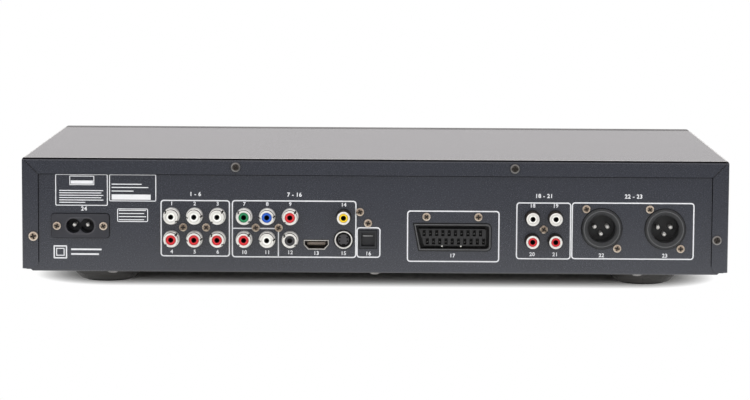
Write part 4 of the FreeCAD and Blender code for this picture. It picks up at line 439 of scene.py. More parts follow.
@dataclass(frozen=True)
class PowderCoat(Finish):
    """Textured paint on folded steel, with a little dust on top and painted shade and highlight in the
    bends.
    """

    SHIFT = (0.05, 0.06)
    RELIEF = (0.05, 0.35)

    scale: float = 1900.0
    dust: float = 0.035
    # Strength of the painted shade and highlight in the bends, then colours of the dust, of the painted
    # shade and of the painted highlight.
    fold: float = 1.0
    dust_colour: Colour = (0.32, 0.30, 0.28)
    bend_shade_colour: Colour = (0.004, 0.004, 0.005)
    bend_glint_colour: Colour = (0.60, 0.58, 0.57)

    def dress(self, surface: Surface) -> None:
        """Adds speckle, relief, uneven gloss, dust, and painted shade and highlight in the bends.

        Args:
            surface: Nodes of the material.
        """
        speckle = surface.effect(Effect.SPECKLE, First=self.partner, Second=self.colour, Scale=self.scale)
        dust = surface.effect(Effect.DUST, Amount=self.dust)
        # Painted shade in the bends, made metallic with a dark colour so they reflect little, and a painted
        # highlight above it.
        fold = surface.effect(Effect.BEND_SHADE_AND_GLINT, Amount=self.fold)
        colour = surface.mixed(dust["Mask"], speckle["Colour"], self.dust_colour)
        colour = surface.mixed(fold["Mask"], colour, self.bend_shade_colour)
        colour = surface.mixed(fold["Edge"], colour, self.bend_glint_colour)
        surface.set(Base_Color=colour, Metallic=fold["Mask"])
        self.gloss(surface, speckle["Height"])
        surface.bump(speckle["Height"], *self.RELIEF)


@dataclass(frozen=True)
class Moulding(Finish):
    """Moulded plastic with a sparked grain."""

    LEVELS = (0.0, 1.0)
    SHIFT = (0.05, 0.05)
    GRAIN_DEPTH = 0.04

    scale: float = 2600.0
    relief: float = 0.3

    def dress(self, surface: Surface) -> None:
        """Adds flow patches, grain and uneven gloss.

        Args:
            surface: Nodes of the material.
        """
        grain = surface.effect(Effect.GRAIN, Scale=self.scale)
        surface.set(Base_Color=surface.mixed(grain["Patches"], self.colour, self.partner))
        self.gloss(surface, grain["Patches"])
        surface.bump(grain["Height"], self.GRAIN_DEPTH, self.relief)


@dataclass(frozen=True)
class Plating(Finish):
    """Plated or bare metal with drawn lines and duller patches."""

    SHIFT = (0.06, 0.08)
    RELIEF = (0.01, 0.25)

    stretch: Size = (1.0, 0.08, 1.0)
    scale: float = 2200.0
    metal: float = 1.0

    def dress(self, surface: Surface) -> None:
        """Adds drawn lines, tarnish and uneven gloss.

        Args:
            surface: Nodes of the material.
        """
        lines = surface.effect(Effect.BRUSHED, Stretch=self.stretch, Scale=self.scale)
        colour = surface.mixed(lines["Patches"], self.colour, self.partner)
        surface.set(Base_Color=colour, Metallic=self.metal)
        self.gloss(surface, lines["Lines"])
        surface.bump(lines["Lines"], *self.RELIEF)


@dataclass(frozen=True)
class SocketMouth(Plating):
    """Plated shell of a socket with painted shade behind its mouth."""

    node: str = ""
    lip: float = 0.7
    depth: float = 3.2
    shade: Colour = (0.080, 0.070, 0.062)

    def dress(self, surface: Surface) -> None:
        """Adds painted shade inside the mouth to the plating.

        Args:
            surface: Nodes of the material.
        """
        super().dress(surface)
        plated = surface.shader.inputs["Base Color"].links[0].from_socket
        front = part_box(self.node)[1].y
        along = surface.part(surface.place(), "Y")
        # Painted shade that deepens from the lip into the mouth.
        share = surface.spread(along, front - self.depth * MM, front - self.lip * MM)
        surface.set(Base_Color=surface.mixed(share, self.shade, plated))


@dataclass(frozen=True)
class CircuitBoard(Finish):
    """Board with a lacquered pattern of copper tracks."""

    RELIEF = (0.035, 0.5)
    BREAKS = Patches(60.0, 0.45, 0.55)

    pitch: float = 240.0
    track: float = 0.06

    def dress(self, surface: Surface) -> None:
        """Adds tracks in two directions that break up in patches.

        Args:
            surface: Nodes of the material.
        """
        place = surface.place()
        steps = surface.add("ShaderNodeTexBrick", Vector=place, Scale=self.pitch, Mortar_Size=self.track)
        share = surface.times(steps.outputs["Fac"], surface.patches(place, self.BREAKS))
        surface.set(Base_Color=surface.mixed(share, self.colour, self.partner))
        surface.bump(share, *self.RELIEF)


@dataclass(frozen=True)
class SmokedAcrylic(Finish):
    """Dark clear window with faint wipe marks."""

    SHIFT = (0.0, 0.05)

    clear: float = 0.7
    index: float = 1.49
    marks: float = 90.0

    def dress(self, surface: Surface) -> None:
        """Adds wipe marks to a clear tinted body.

        Args:
            surface: Nodes of the material.
        """
        grain = surface.effect(Effect.GRAIN, Scale=self.marks)
        colour = surface.mixed(grain["Patches"], self.colour, self.partner)
        surface.set(Base_Color=colour, Transmission_Weight=self.clear, IOR=self.index)
        self.gloss(surface, grain["Height"])


@dataclass(frozen=True)
class Print(Finish):
    """Screen-printed ink with a faint mottle."""

    RELIEF = (0.01, 0.2)

    scale: float = 2400.0

    def dress(self, surface: Surface) -> None:
        """Adds the ink's mottle.

        Args:
            surface: Nodes of the material.
        """
        speckle = surface.effect(Effect.SPECKLE, First=self.partner, Second=self.colour, Scale=self.scale)
        surface.set(Base_Color=speckle["Colour"])
        surface.bump(speckle["Height"], *self.RELIEF)


def insert(colour_name: str, colour: Colour, partner: Colour) -> Moulding:
    """Gives the smooth finish of a socket's coloured insert."""
    return Moulding(colour_name + "_insert", colour, partner, roughness=0.3, scale=1400.0, relief=0.1)


ZINC = Plating("yellow_zinc", (0.78, 0.68, 0.57), (0.52, 0.43, 0.34), 0.28)
# Darker zinc as painted shade on the middle of screw heads.
CENTRE_SHADE_ZINC = Plating("zinc_centre_shade", (0.44, 0.35, 0.27), (0.27, 0.21, 0.16), 0.3)
# Black zinc of the cover's rear screws, also used as painted shade on the screws under the base.
BLACK_ZINC_AND_SHADE = Plating("black_zinc_and_shade", (0.34, 0.33, 0.32), (0.17, 0.165, 0.16), 0.3)
# Painted shade on the walls of cuts, such as screw crosses and shell slits, and on the phono shells' dark
# band.
RECESS = Moulding("recess_shade", (0.020, 0.016, 0.013), (0.030, 0.024, 0.020), 0.6)
NICKEL = Plating("bright_nickel", (0.88, 0.87, 0.84), (0.76, 0.75, 0.73), 0.36, metal=0.55)
# Near black for painted shade in holes, seams and gaps.
WELL_SHADE = Moulding("painted_well_shade", (0.004, 0.004, 0.004), (0.007, 0.007, 0.007), 0.6, 0.06)
# Light grey for the painted highlight on the ridge of the optical shutter.
SHUTTER_HIGHLIGHT = Moulding("shutter_ridge_highlight", (0.46, 0.47, 0.48), (0.40, 0.41, 0.42), 0.3)
# Lighter moulding for the painted highlight on the rim of the mains inlet.
INLET_HIGHLIGHT = Moulding("inlet_edge", (0.044, 0.044, 0.051), (0.037, 0.037, 0.044), 0.3)
# Light grey for painted highlights along the edges of the scart socket and the XLR rings.
EDGE_HIGHLIGHT = Moulding("rim_edge", (0.125, 0.127, 0.134), (0.100, 0.102, 0.108), 0.25)
SILVER = Plating("silver_contact", (0.94, 0.93, 0.90), (0.86, 0.85, 0.82), 0.4, metal=0.45)
CAP_ALUMINIUM = Plating("spun_aluminium", (0.62, 0.63, 0.65), (0.48, 0.49, 0.51), 0.28)
# Dark plating as painted shade on the scart's blades deep in their slots.
BLADE_SHADE = Plating("blade_contact_shade", (0.16, 0.16, 0.16), (0.11, 0.11, 0.11), 0.4, metal=0.6)
GOLD = Plating("gold_contact", (0.82, 0.62, 0.28), (0.70, 0.52, 0.24), 0.25)
WHITE_INK = Print("white_ink", (0.66, 0.67, 0.70), (0.56, 0.57, 0.60), 0.55)

DRESS: dict[Finish, tuple[str, ...]] = {
    PowderCoat("charcoal_powder_coat", (0.0195, 0.0225, 0.0335), (0.0115, 0.0138, 0.0220), 0.24, 0.95):
        ("base_tray", "rear_panel", "top_cover"),
    Moulding("satin_black_moulding", (0.024, 0.024, 0.026), (0.030, 0.030, 0.033), 0.42):
        ("front_panel", "tray_trim"),
    SmokedAcrylic("smoked_acrylic", (0.05, 0.05, 0.055), (0.06, 0.06, 0.065), 0.06): ("display_window",),
    Moulding("foot_moulding", (0.058, 0.056, 0.054), (0.074, 0.071, 0.068), 0.26): ("feet",),
    Moulding("pad_rubber", (0.022, 0.022, 0.022), (0.032, 0.031, 0.03), 0.8, 0.25, scale=900.0, relief=0.6):
        ("foot_pads",),
    ZINC: ("case_screws", "jack_screws"),
    NICKEL: ("jack_shells",),
    # Plating with painted shade inside the mouth of the flat picture socket.
    SocketMouth("tinned_shield_mouth_shade", (0.64, 0.62, 0.59), (0.50, 0.48, 0.46), 0.32, metal=0.8, node="hdmi_shell"):
        ("hdmi_shell",),
    Moulding("inlet_moulding", (0.017, 0.018, 0.024), (0.023, 0.024, 0.031), 0.42): ("mains_inlet",),
    Moulding("socket_moulding", (0.010, 0.010, 0.011), (0.016, 0.016, 0.017), 0.36):
        ("surround_jack_block", "av_jack_block", "karaoke_jack_block", "scart_socket"),
    Moulding("optical_moulding", (0.014, 0.015, 0.018), (0.019, 0.021, 0.024), 0.34):
        ("optical_socket", "optical_shutter"),
    Moulding("black_insert", (0.034, 0.033, 0.037), (0.042, 0.041, 0.046), 0.4): ("jack_inserts_black",),
    Moulding("xlr_ring", (0.022, 0.023, 0.025), (0.016, 0.017, 0.019), 0.34): ("xlr_shells",),
    SILVER: ("mains_pins", "xlr_pins"),
    Moulding("tongue_moulding", (0.230, 0.190, 0.160), (0.190, 0.155, 0.130), 0.4): ("hdmi_tongue",),
    insert("white", (0.82, 0.82, 0.80), (0.76, 0.76, 0.74)): ("jack_inserts_white",),
    insert("red", (0.62, 0.022, 0.030), (0.52, 0.016, 0.022)): ("jack_inserts_red",),
    insert("green", (0.012, 0.22, 0.085), (0.010, 0.17, 0.065)): ("jack_insert_green",),
    insert("blue", (0.012, 0.10, 0.52), (0.010, 0.08, 0.42)): ("jack_insert_blue",),
    insert("yellow", (0.85, 0.60, 0.012), (0.76, 0.52, 0.010)): ("jack_insert_yellow",),
    CircuitBoard("board_lacquer", (0.012, 0.085, 0.035), (0.030, 0.16, 0.07), 0.4):
        ("power_board", "av_board", "karaoke_board", "mic_board", "front_board"),
    Plating("core_iron", (0.30, 0.30, 0.31), (0.20, 0.20, 0.21), 0.5, stretch=(1.0, 1.0, 0.05), scale=900.0):
        ("power_parts",),
    Moulding("display_glass", (0.010, 0.014, 0.016), (0.014, 0.019, 0.021), 0.2, scale=900.0, relief=0.05):
        ("display_module",),
    Plating("control_nickel", (0.80, 0.79, 0.77), (0.66, 0.65, 0.63), 0.3): ("mic_jacks", "mic_pots"),
    Moulding("knob_moulding", (0.020, 0.020, 0.022), (0.026, 0.026, 0.028), 0.38):
        ("knob_mic_1", "knob_mic_2", "knob_echo"),
    Moulding("key_moulding", (0.075, 0.075, 0.080), (0.088, 0.088, 0.093), 0.34):
        ("power_button", "open_close_button", "play_button", "stop_button", "skip_rocker"),
    Moulding("switch_moulding", (0.014, 0.014, 0.014), (0.02, 0.02, 0.02), 0.45): ("key_switches",),
    Moulding("loader_moulding", (0.030, 0.030, 0.032), (0.038, 0.038, 0.041), 0.5):
        ("loader_frame", "clamper_bridge", "clamper", "disc_tray"),
    Moulding("gear_acetal", (0.72, 0.70, 0.66), (0.66, 0.64, 0.60), 0.35, scale=1600.0, relief=0.1):
        ("tray_gear", "motor_pinion", "feed_gear", "turntable"),
    Plating("motor_steel", (0.62, 0.62, 0.63), (0.48, 0.48, 0.49), 0.34):
        ("tray_motor", "deck_motors", "guide_rods"),
    Moulding("deck_moulding", (0.045, 0.045, 0.048), (0.056, 0.056, 0.060), 0.5):
        ("traverse_deck", "pickup_sled"),
}


def dress_nodes() -> None:
    """Gives every CAD node its finish."""
    for finish, nodes in DRESS.items():
        for node in nodes:
            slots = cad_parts[node].data.materials
            slots.clear()
            slots.append(finish.material())
            LOG.info("finish %s on %s", finish.name, node)


def added(name: str, data: bpy.types.ID) -> bpy.types.Object:
    """Makes an object and adds it to the scene.

    Args:
        name: Name of the object.
        data: Its mesh, curve, lamp or camera.

    Returns:
        The object.
    """
    made = bpy.data.objects.new(name, data)
    bpy.context.scene.collection.objects.link(made)
    return made


def shaped(thing: bpy.types.Object) -> BMesh:
    """Reads the final mesh of an object.

    Args:
        thing: The object.

    Returns:
        Its mesh, with its modifiers applied.
    """
    data = bpy.data.meshes.new_from_object(thing.evaluated_get(bpy.context.evaluated_depsgraph_get()))
    made = bmesh.new()
    made.from_mesh(data)
    bpy.data.meshes.remove(data)
    return made


def stamp(target: BMesh, part: BMesh, place: Matrix) -> None:
    """Moves a part to its place in a larger mesh and frees it.

    Args:
        target: Mesh that grows.
        part: The part.
        place: Place of the part.
    """
    data = bpy.data.meshes.new("stamp")
    part.to_mesh(data)
    part.free()
    data.transform(place)
    target.from_mesh(data)
    bpy.data.meshes.remove(data)


def turned(profile: list[Spot], steps: int) -> BMesh:
    """Turns a profile about the Z axis.

    Args:
        profile: Points as (radius, height), closed on itself or on the axis.
        steps: Number of steps in the turn.

    Returns:
        The turned solid.
    """
    mesh = bmesh.new()
    dots = [mesh.verts.new((radius, 0, height)) for radius, height in profile]
    lines = [mesh.edges.new(pair) for pair in zip(dots, dots[1:])]
    if profile[0][0] or profile[-1][0]:
        lines.append(mesh.edges.new((dots[-1], dots[0])))
    bmesh.ops.spin(mesh, geom=dots + lines, cent=(0, 0, 0), axis=(0, 0, 1), angle=math.tau, steps=steps,
                   use_merge=True)
    bmesh.ops.dissolve_degenerate(mesh, dist=SLIVER, edges=mesh.edges)
    bmesh.ops.remove_doubles(mesh, verts=mesh.verts, dist=MERGE)
    bmesh.ops.recalc_face_normals(mesh, faces=mesh.faces)
    return mesh


def block(size: Size, centre: Size) -> BMesh:
    """Makes a box.

    Args:
        size: Its three sides.
        centre: Its middle.

    Returns:
        The box.
    """
    mesh = bmesh.new()
    bmesh.ops.create_cube(mesh, size=1.0)
    bmesh.ops.scale(mesh, vec=size, verts=mesh.verts)
    bmesh.ops.translate(mesh, vec=centre, verts=mesh.verts)
    return mesh


def painted(mesh: BMesh, coat: Coat) -> BMesh:
    """Gives all faces of a mesh one of its piece's finishes.

    Args:
        mesh: The mesh.
        coat: Slot of the finish.

    Returns:
        The same mesh.
    """
    for face in mesh.faces:
        face.material_index = coat
    return mesh


def carved(body: BMesh, cutter: BMesh) -> BMesh:
    """Cuts one mesh out of another and frees both; the cut's walls take the second finish.

    Args:
        body: Mesh that is cut.
        cutter: Mesh that cuts.

    Returns:
        The cut mesh.
    """
    things = []
    for mesh in (body, painted(cutter, Coat.SHADE)):
        data = bpy.data.meshes.new("carve")
        for coat in (Coat.MAIN, Coat.SHADE):
            data.materials.append(None)
        mesh.to_mesh(data)
        mesh.free()
        things.append(added("carve", data))
    cut = things[0].modifiers.new("cut", "BOOLEAN")
    cut.object = things[1]
    cut.solver = "EXACT"
    result = shaped(things[0])
    for thing in things:
        data = thing.data
        bpy.data.objects.remove(thing)
        bpy.data.meshes.remove(data)
    return result


def finished(name: str, mesh: BMesh, body: str, finish: Finish, smooth: float = 35.0,
             others: tuple[Finish, ...] = ()) -> bpy.types.Object:
    """Makes a piece from a mesh and puts it on its body.

    Args:
        name: Name of the piece.
        mesh: Its mesh, in its place.
        body: Body that carries it.
        finish: Its finish.
        smooth: Edges sharper than this many degrees stay sharp.
        others: Its other finishes; the first is on the walls of its cuts.

    Returns:
        The piece.
    """
    mesh.normal_update()
    for face in mesh.faces:
        face.smooth = True
    for edge in mesh.edges:
        edge.smooth = edge.is_manifold and edge.calc_face_angle(0.0) < math.radians(smooth)
    mesh.transform(Matrix.Scale(MM, 4))
    data = bpy.data.meshes.new(name)
    mesh.to_mesh(data)
    mesh.free()
    for coat in (finish, *others):
        data.materials.append(coat.material())
    piece = added(name, data)
    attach(piece, body)
    LOG.info("piece %s on %s, %d faces", name, body, len(data.polygons))
    return piece


def limits(dots: Solid) -> tuple[Vector, Vector]:
    """Lower and upper corners of the box around some points."""
    return tuple(Vector([pick(dot[i] for dot in dots) for i in range(3)]) for pick in (min, max))


def box_of(node: str) -> tuple[Vector, Vector]:
    """Lower and upper corners of a CAD node's box."""
    return tuple(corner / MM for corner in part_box(node))


def middle_of(node: str) -> Vector:
    """Middle of a CAD node's box."""
    return sum(box_of(node), Vector()) / 2


def solids_of(node: str) -> list[Solid]:
    """Finds the separate solids of a CAD node.

    Args:
        node: Name of the node.

    Returns:
        The points of each solid, in the order of their lower corners.
    """
    mesh = bmesh.new()
    mesh.from_mesh(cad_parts[node].data)
    bmesh.ops.remove_doubles(mesh, verts=mesh.verts, dist=WELD * MM)
    left = set(mesh.verts)
    found = []
    for first in mesh.verts:
        front = [first] if first in left else []
        left.discard(first)
        solid = []
        while front:
            dot = front.pop()
            solid.append(dot.co / MM)
            near = [other for other in (edge.other_vert(dot) for edge in dot.link_edges) if other in left]
            left.difference_update(near)
            front.extend(near)
        if solid:
            found.append(solid)
    mesh.free()
    return sorted(found, key=lambda dots: [round(value, 1) for value in limits(dots)[0]])


def from_axis(solid: Solid, axis: int) -> list[float]:
    """Measures how far each point of a round solid is from its axis.

    Args:
        solid: Points of the solid.
        axis: Number of the direction of its axis.

    Returns:
        The distances, in the order of the points.
    """
    low, high = limits(solid)
    across = [i for i in range(3) if i != axis]
    return [math.hypot(*(dot[i] - (low[i] + high[i]) / 2 for i in across)) for dot in solid]


@dataclass
class Fasteners:
    """Pan-head screws with a cross recess, in the places of the CAD screws."""

    nodes: tuple[str, ...] = ("case_screws", "jack_screws")
    rim_share: float = 0.62
    seat_share: float = 0.97
    seat_rise: float = 0.12
    dome_step: int = 15
    reach_share: float = 0.76
    width_share: float = 0.23
    depth_share: float = 0.7
    foot_share: float = 0.6
    centre_shade_share: float = 0.72
    black_side: float = 150.0
    cover_gap: float = 0.1
    twist: float = 37.0
    steps: int = 28
    smooth: float = 40.0

    def screw(self, head_r: float, head: float, shank_r: float, length: float) -> BMesh:
        """Makes one screw along Z with its head's underside at zero.

        Args:
            head_r: Radius of the head.
            head: Height of the head.
            shank_r: Radius of the shank.
            length: Length of the shank.

        Returns:
            The screw.
        """
        rim = head * self.rim_share
        dome = [(head_r * math.cos(turn), rim + (head - rim) * math.sin(turn))
                for turn in map(math.radians, range(0, 90, self.dome_step))]
        shank = [(0, -length), (shank_r, -length), (shank_r, 0)]
        seat = [(head_r * self.seat_share, 0), (head_r, self.seat_rise)]
        body = turned(shank + seat + dome + [(0, head)], self.steps)
        # The middle of the head gets painted shade.
        for face in body.faces:
            middle = face.calc_center_median()
            if middle.z > rim and middle.xy.length < head_r * self.centre_shade_share:
                face.material_index = Coat.CENTRE_SHADE
        reach, width = (2 * head_r * share for share in (self.reach_share, self.width_share))
        for sides in ((reach, width), (width, reach)):
            arm = block((*sides, 2 * head * self.depth_share), (0, 0, head))
            foot = [dot for dot in arm.verts if dot.co.z < head]
            bmesh.ops.scale(arm, vec=(self.foot_share, self.foot_share, 1.0), verts=foot)
            body = carved(body, arm)
        return body

    def fit(self, solid: Solid) -> tuple[tuple[float, ...], Vector, Vector]:
        """Measures a CAD screw.

        Args:
            solid: Its points.

        Returns:
            The sizes of the screw, the middle of its seat and the direction of its head.
        """
        low, high = limits(solid)
        axis = max(range(3), key=lambda i: (high - low)[i])
        away = from_axis(solid, axis)
        head_r = max(away)
        rim = [dot[axis] for dot, reach in zip(solid, away) if reach > head_r - TOUCH]
        seat = (low + high) / 2
        sign = 1 if sum(rim) / len(rim) > seat[axis] else -1
        seat[axis] = min(rim) if sign > 0 else max(rim)
        tip, tail = (high, low) if sign > 0 else (low, high)
        shank_r = max(reach for dot, reach in zip(solid, away) if abs(dot[axis] - tail[axis]) < TOUCH)
        sizes = (head_r, abs(tip[axis] - seat[axis]), shank_r, abs(seat[axis] - tail[axis]))
        out = Vector([sign if i == axis else 0 for i in range(3)])
        return tuple(round(size, 2) for size in sizes), seat, out

    def build(self) -> None:
        """Replaces the CAD nodes of screws."""
        edge = box_of("top_cover")[1].y - self.cover_gap
        for node in self.nodes:
            models: dict[tuple[float, ...], BMesh] = {}
            mesh = bmesh.new()
            for number, solid in enumerate(solids_of(node)):
                sizes, seat, out = self.fit(solid)
                if sizes not in models:
                    models[sizes] = self.screw(*sizes)
                screw = models[sizes].copy()
                # Screws under the base turn black as painted shade for the shadow under the machine; those
                # on the cover's rear edge are black zinc.
                if out.z < 0 or out.y > 0 and seat.y > edge and seat.x < self.black_side:
                    self._blacken(screw)
                turn = Vector((0, 0, 1)).rotation_difference(out).to_matrix().to_4x4()
                twist = Matrix.Rotation(math.radians(self.twist * number % 90.0), 4, "Z")
                stamp(mesh, screw, Matrix.Translation(seat) @ turn @ twist)
            for model in models.values():
                model.free()
            # Painted shade for the crosses, black zinc on the cover's screws and as painted shade under the
            # base, and painted shade on the middles of the heads.
            coats = (RECESS, BLACK_ZINC_AND_SHADE, CENTRE_SHADE_ZINC)
            piece = finished(node + "_recessed", mesh, "case", ZINC, self.smooth, coats)
            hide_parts(node)

    def _blacken(self, screw: BMesh) -> None:
        """Makes a screw black, with painted shade on its middle and in its cross."""
        for face in screw.faces:
            face.material_index = Coat.BLACK if face.material_index == Coat.MAIN else Coat.SHADE


@dataclass
class PhonoShells:
    """Plated shells of the phono sockets with painted shade on the wall behind the rim and in the slits; the
    wide ones have a collar behind the rim and two slits.
    """

    # Points of the rim: share of the wall, from outside, and drop from the front end.
    rim: tuple[Spot, ...] = ((0.12, 0.2), (0.18, 0.05), (0.28, 0.0), (0.46, 0.0), (0.5, 0.22), (0.6, 0.22),
                             (0.64, 0.06), (0.85, 0.06), (1.0, 0.32))
    # Depth of the collar behind the front, share of that depth which gets painted shade, and length of a
    # slim shell left unshaded at the panel.
    shade: float = 4.4
    shade_share: float = 0.6
    root: float = 0.1
    collar: float = 0.55
    # Points of the collar's front: share of its width and distance back.
    collar_curve: tuple[Spot, ...] = ((1.0, 1.0), (0.85, 0.4), (0.5, 0.1), (0.0, 0.0))
    slim_r: float = 4.3
    round_r: float = 5.0
    slit: Size = (2.4, 1.1, 12.0)
    slit_out: float = 0.4
    slit_angles: tuple[float, ...] = (140.0, 45.0, 5.0, 5.0, 45.0, 140.0)
    steps: int = 40

    def shell(self, outer: float, bore: float, length: float) -> BMesh:
        """Makes one shell along Z from its rear end.

        Args:
            outer: Outer radius.
            bore: Inner radius.
            length: Length of the shell.

        Returns:
            The shell.
        """
        wall = outer - bore
        base, dark = [(outer, 0)], length - self.root
        if outer > self.slim_r:
            behind = length - self.shade
            base = [(outer + self.collar, 0)]
            base += [(outer + self.collar * out, behind - back) for out, back in self.collar_curve]
            dark = self.shade * self.shade_share
        edge = [(outer - wall * share, length - drop) for share, drop in ((0.0, dark), *self.rim)]
        body = turned([(bore, 0)] + base + edge, self.steps)
        # Painted shade on the front of the wall behind the rim; a slim shell is shaded almost down to the
        # panel.
        for face in body.faces:
            middle = face.calc_center_median()
            if middle.xy.length > outer - wall * self.rim[0][0] and middle.z > length - dark:
                face.material_index = Coat.SHADE
        return body

    def build(self) -> None:
        """Replaces the CAD shells."""
        mesh = bmesh.new()
        for number, solid in enumerate(solids_of("jack_shells")):
            low, high = limits(solid)
            centre = (low + high) / 2
            away = from_axis(solid, 1)
            outer, length = max(away), high.y - low.y
            shell = self.shell(outer, min(away), length)
            if self.slim_r < outer < self.round_r:
                angle = self.slit_angles[number % len(self.slit_angles)]
                for turn in (angle, angle + 180.0):
                    cut = block(self.slit, (outer + self.slit_out, 0, length))
                    cut.transform(Matrix.Rotation(math.radians(turn), 4, "Z"))
                    shell = carved(shell, cut)
            stamp(mesh, shell, Face.BACK.place(centre.x, low.y, centre.z))
        piece = finished("jack_shells_slit", mesh, "case", NICKEL, others=(RECESS,))
        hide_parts("jack_shells")


@dataclass
class ContactHoleShade:
    """Painted shade lining the contact holes of the coloured inserts."""

    nodes: tuple[str, ...] = ("jack_inserts_white", "jack_inserts_red", "jack_insert_green",
                              "jack_insert_blue", "jack_insert_yellow")
    wall: float = 0.25
    gap: float = 0.02
    steps: int = 24

    def build(self) -> None:
        """Adds painted shade lining each hole."""
        mesh = bmesh.new()
        for solid in (dots for node in self.nodes for dots in solids_of(node)):
            low, high = limits(solid)
            centre = (low + high) / 2
            away = from_axis(solid, 1)
            hole = [dot.y for dot, reach in zip(solid, away) if reach < min(away) + TOUCH]
            outer = min(away) - self.gap
            inner = outer - self.wall
            deep = max(hole) - min(hole) - 2 * self.gap
            cup = [(0, 0), (outer, 0), (outer, deep), (inner, deep), (inner, self.wall), (0, self.wall)]
            place = Face.BACK.place(centre.x, min(hole) + self.gap, centre.z)
            stamp(mesh, turned(cup, self.steps), place)
        finished("contact_hole_shade", mesh, "case", WELL_SHADE)


class InkSheet:
    """Flat shapes of one print or seam, measured to the right and up."""

    CAPITAL_SHARE = 0.72
    BOLD_SHARE = 0.035
    SPACING = 1.08
    CORNER_STEPS = 5
    RING_STEPS = 28
    SEAM_STEPS = 16
    FIGURE_STEPS = 3
    SMOOTH = 30.0

    def __init__(self, finish: Finish = WHITE_INK) -> None:
        """Starts an empty sheet with its finish."""
        self.mesh = bmesh.new()
        self.finish = finish

    def _raise(self, flat: BMesh) -> None:
        """Gives flat faces the ink's thickness and adds them to the sheet.

        Args:
            flat: The faces, which are freed.
        """
        lifted = bmesh.ops.extrude_face_region(flat, geom=list(flat.faces))
        dots = [item for item in lifted["geom"] if isinstance(item, bmesh.types.BMVert)]
        bmesh.ops.translate(flat, vec=(0, 0, INK), verts=dots)
        bmesh.ops.recalc_face_normals(flat, faces=flat.faces)
        stamp(self.mesh, flat, Matrix())

    def _frame(self, flat: BMesh, line: float) -> None:
        """Leaves a line of some width along the edge of a flat face and adds it."""
        self._inset(flat, line)
        self._raise(flat)

    def _inset(self, flat: BMesh, line: float, keep_middle: bool = False) -> None:
        """Insets a flat face.

        Args:
            flat: Mesh of the face.
            line: Width of the border.
            keep_middle: Whether the middle is kept, and not the border.
        """
        middle = flat.faces[:]
        border = bmesh.ops.inset_region(flat, faces=middle, thickness=line, use_even_offset=True,
                                        use_boundary=True)
        bmesh.ops.delete(flat, geom=border["faces"] if keep_middle else middle, context="FACES")

    def _flat(self, points: list[Spot]) -> BMesh:
        """Makes a flat face.

        Args:
            points: Its corners.

        Returns:
            Its mesh.
        """
        flat = bmesh.new()
        flat.faces.new([flat.verts.new((x, y, 0)) for x, y in points])
        flat.normal_update()
        return flat

    def _corners(self, edges: Edges) -> list[Spot]:
        """Corners of an upright rectangle from its left, lower, right and upper edge."""
        left, low, right, high = edges
        return [(left, low), (right, low), (right, high), (left, high)]

    def patch(self, points: list[Spot]) -> None:
        """Adds a filled shape from its corners."""
        self._raise(self._flat(points))

    def bar(self, *edges: float) -> None:
        """Adds a filled rectangle from its left, lower, right and upper edge."""
        self.patch(self._corners(edges))

    def outline(self, edges: Edges, corner: float, line: float) -> None:
        """Adds a rounded frame.

        Args:
            edges: Its left, lower, right and upper edge.
            corner: Radius of the corners.
            line: Width of the line.
        """
        flat = self._flat(self._corners(edges))
        if corner:
            bmesh.ops.bevel(flat, geom=list(flat.verts), offset=corner, segments=self.CORNER_STEPS,
                            profile=0.5, affect="VERTICES", material=-1)
        self._frame(flat, line)

    def seam(self, points: list[Spot], line: float, inset: float = 0.0) -> None:
        """Adds a line along the edge of a shape, outside it or some way inside.

        Args:
            points: Points of the shape, of which the outermost count.
            line: Width of the line.
            inset: Distance from the edge to a line inside it.
        """
        dots = [Vector(point) for point in points]
        if not inset:
            turns = [math.tau * step / self.SEAM_STEPS for step in range(self.SEAM_STEPS)]
            around = [Vector((line, 0.0)) @ Matrix.Rotation(turn, 2) for turn in turns]
            dots = [dot + reach for dot in dots for reach in around]
        flat = self._flat([dots[i] for i in geometry.convex_hull_2d(dots)])
        if inset:
            self._inset(flat, inset, keep_middle=True)
        self._frame(flat, line)

    def ring(self, x: float, y: float, radius: float, line: float, gap: float = 0.0) -> None:
        """Adds a ring.

        Args:
            x: Middle, to the right.
            y: Middle, up.
            radius: Outer radius.
            line: Width of the line.
            gap: Half of the opening at the top, in degrees.
        """
        flat = bmesh.new()
        dots = [flat.verts.new((reach, 0, 0)) for reach in (radius - line, radius)]
        edge = flat.edges.new(dots)
        flat.transform(Matrix.Rotation(math.radians(90.0 + gap), 4, "Z"))
        bmesh.ops.spin(flat, geom=dots + [edge], cent=(0, 0, 0), axis=(0, 0, 1), steps=self.RING_STEPS,
                       angle=math.radians(360.0 - 2 * gap), use_merge=gap == 0.0)
        bmesh.ops.translate(flat, vec=(x, y, 0), verts=flat.verts)
        self._raise(flat)

    def number(self, words: str, x: float, y: float, height: float) -> None:
        """Adds plain figures.

        Args:
            words: The figures.
            x: Their middle, to the right.
            y: Their middle, up.
            height: Height of the figures.
        """
        curve = bpy.data.curves.new("figures", "FONT")
        curve.body = words
        curve.size = height / self.CAPITAL_SHARE
        curve.offset = height * self.BOLD_SHARE
        curve.space_character = self.SPACING
        curve.align_x = "CENTER"
        curve.align_y = "CENTER"
        curve.resolution_u = self.FIGURE_STEPS
        thing = added("figures", curve)
        flat = shaped(thing)
        bmesh.ops.remove_doubles(flat, verts=flat.verts, dist=WELD)
        bmesh.ops.translate(flat, vec=(x, y, 0), verts=flat.verts)
        self._raise(flat)
        bpy.data.objects.remove(thing)
        bpy.data.curves.remove(curve)

    def lay(self, name: str, body: str, place: Matrix) -> None:
        """Lays the print in its place on a body, as a piece of that name."""
        self.mesh.transform(place)
        finished(name, self.mesh, body, self.finish, self.SMOOTH)


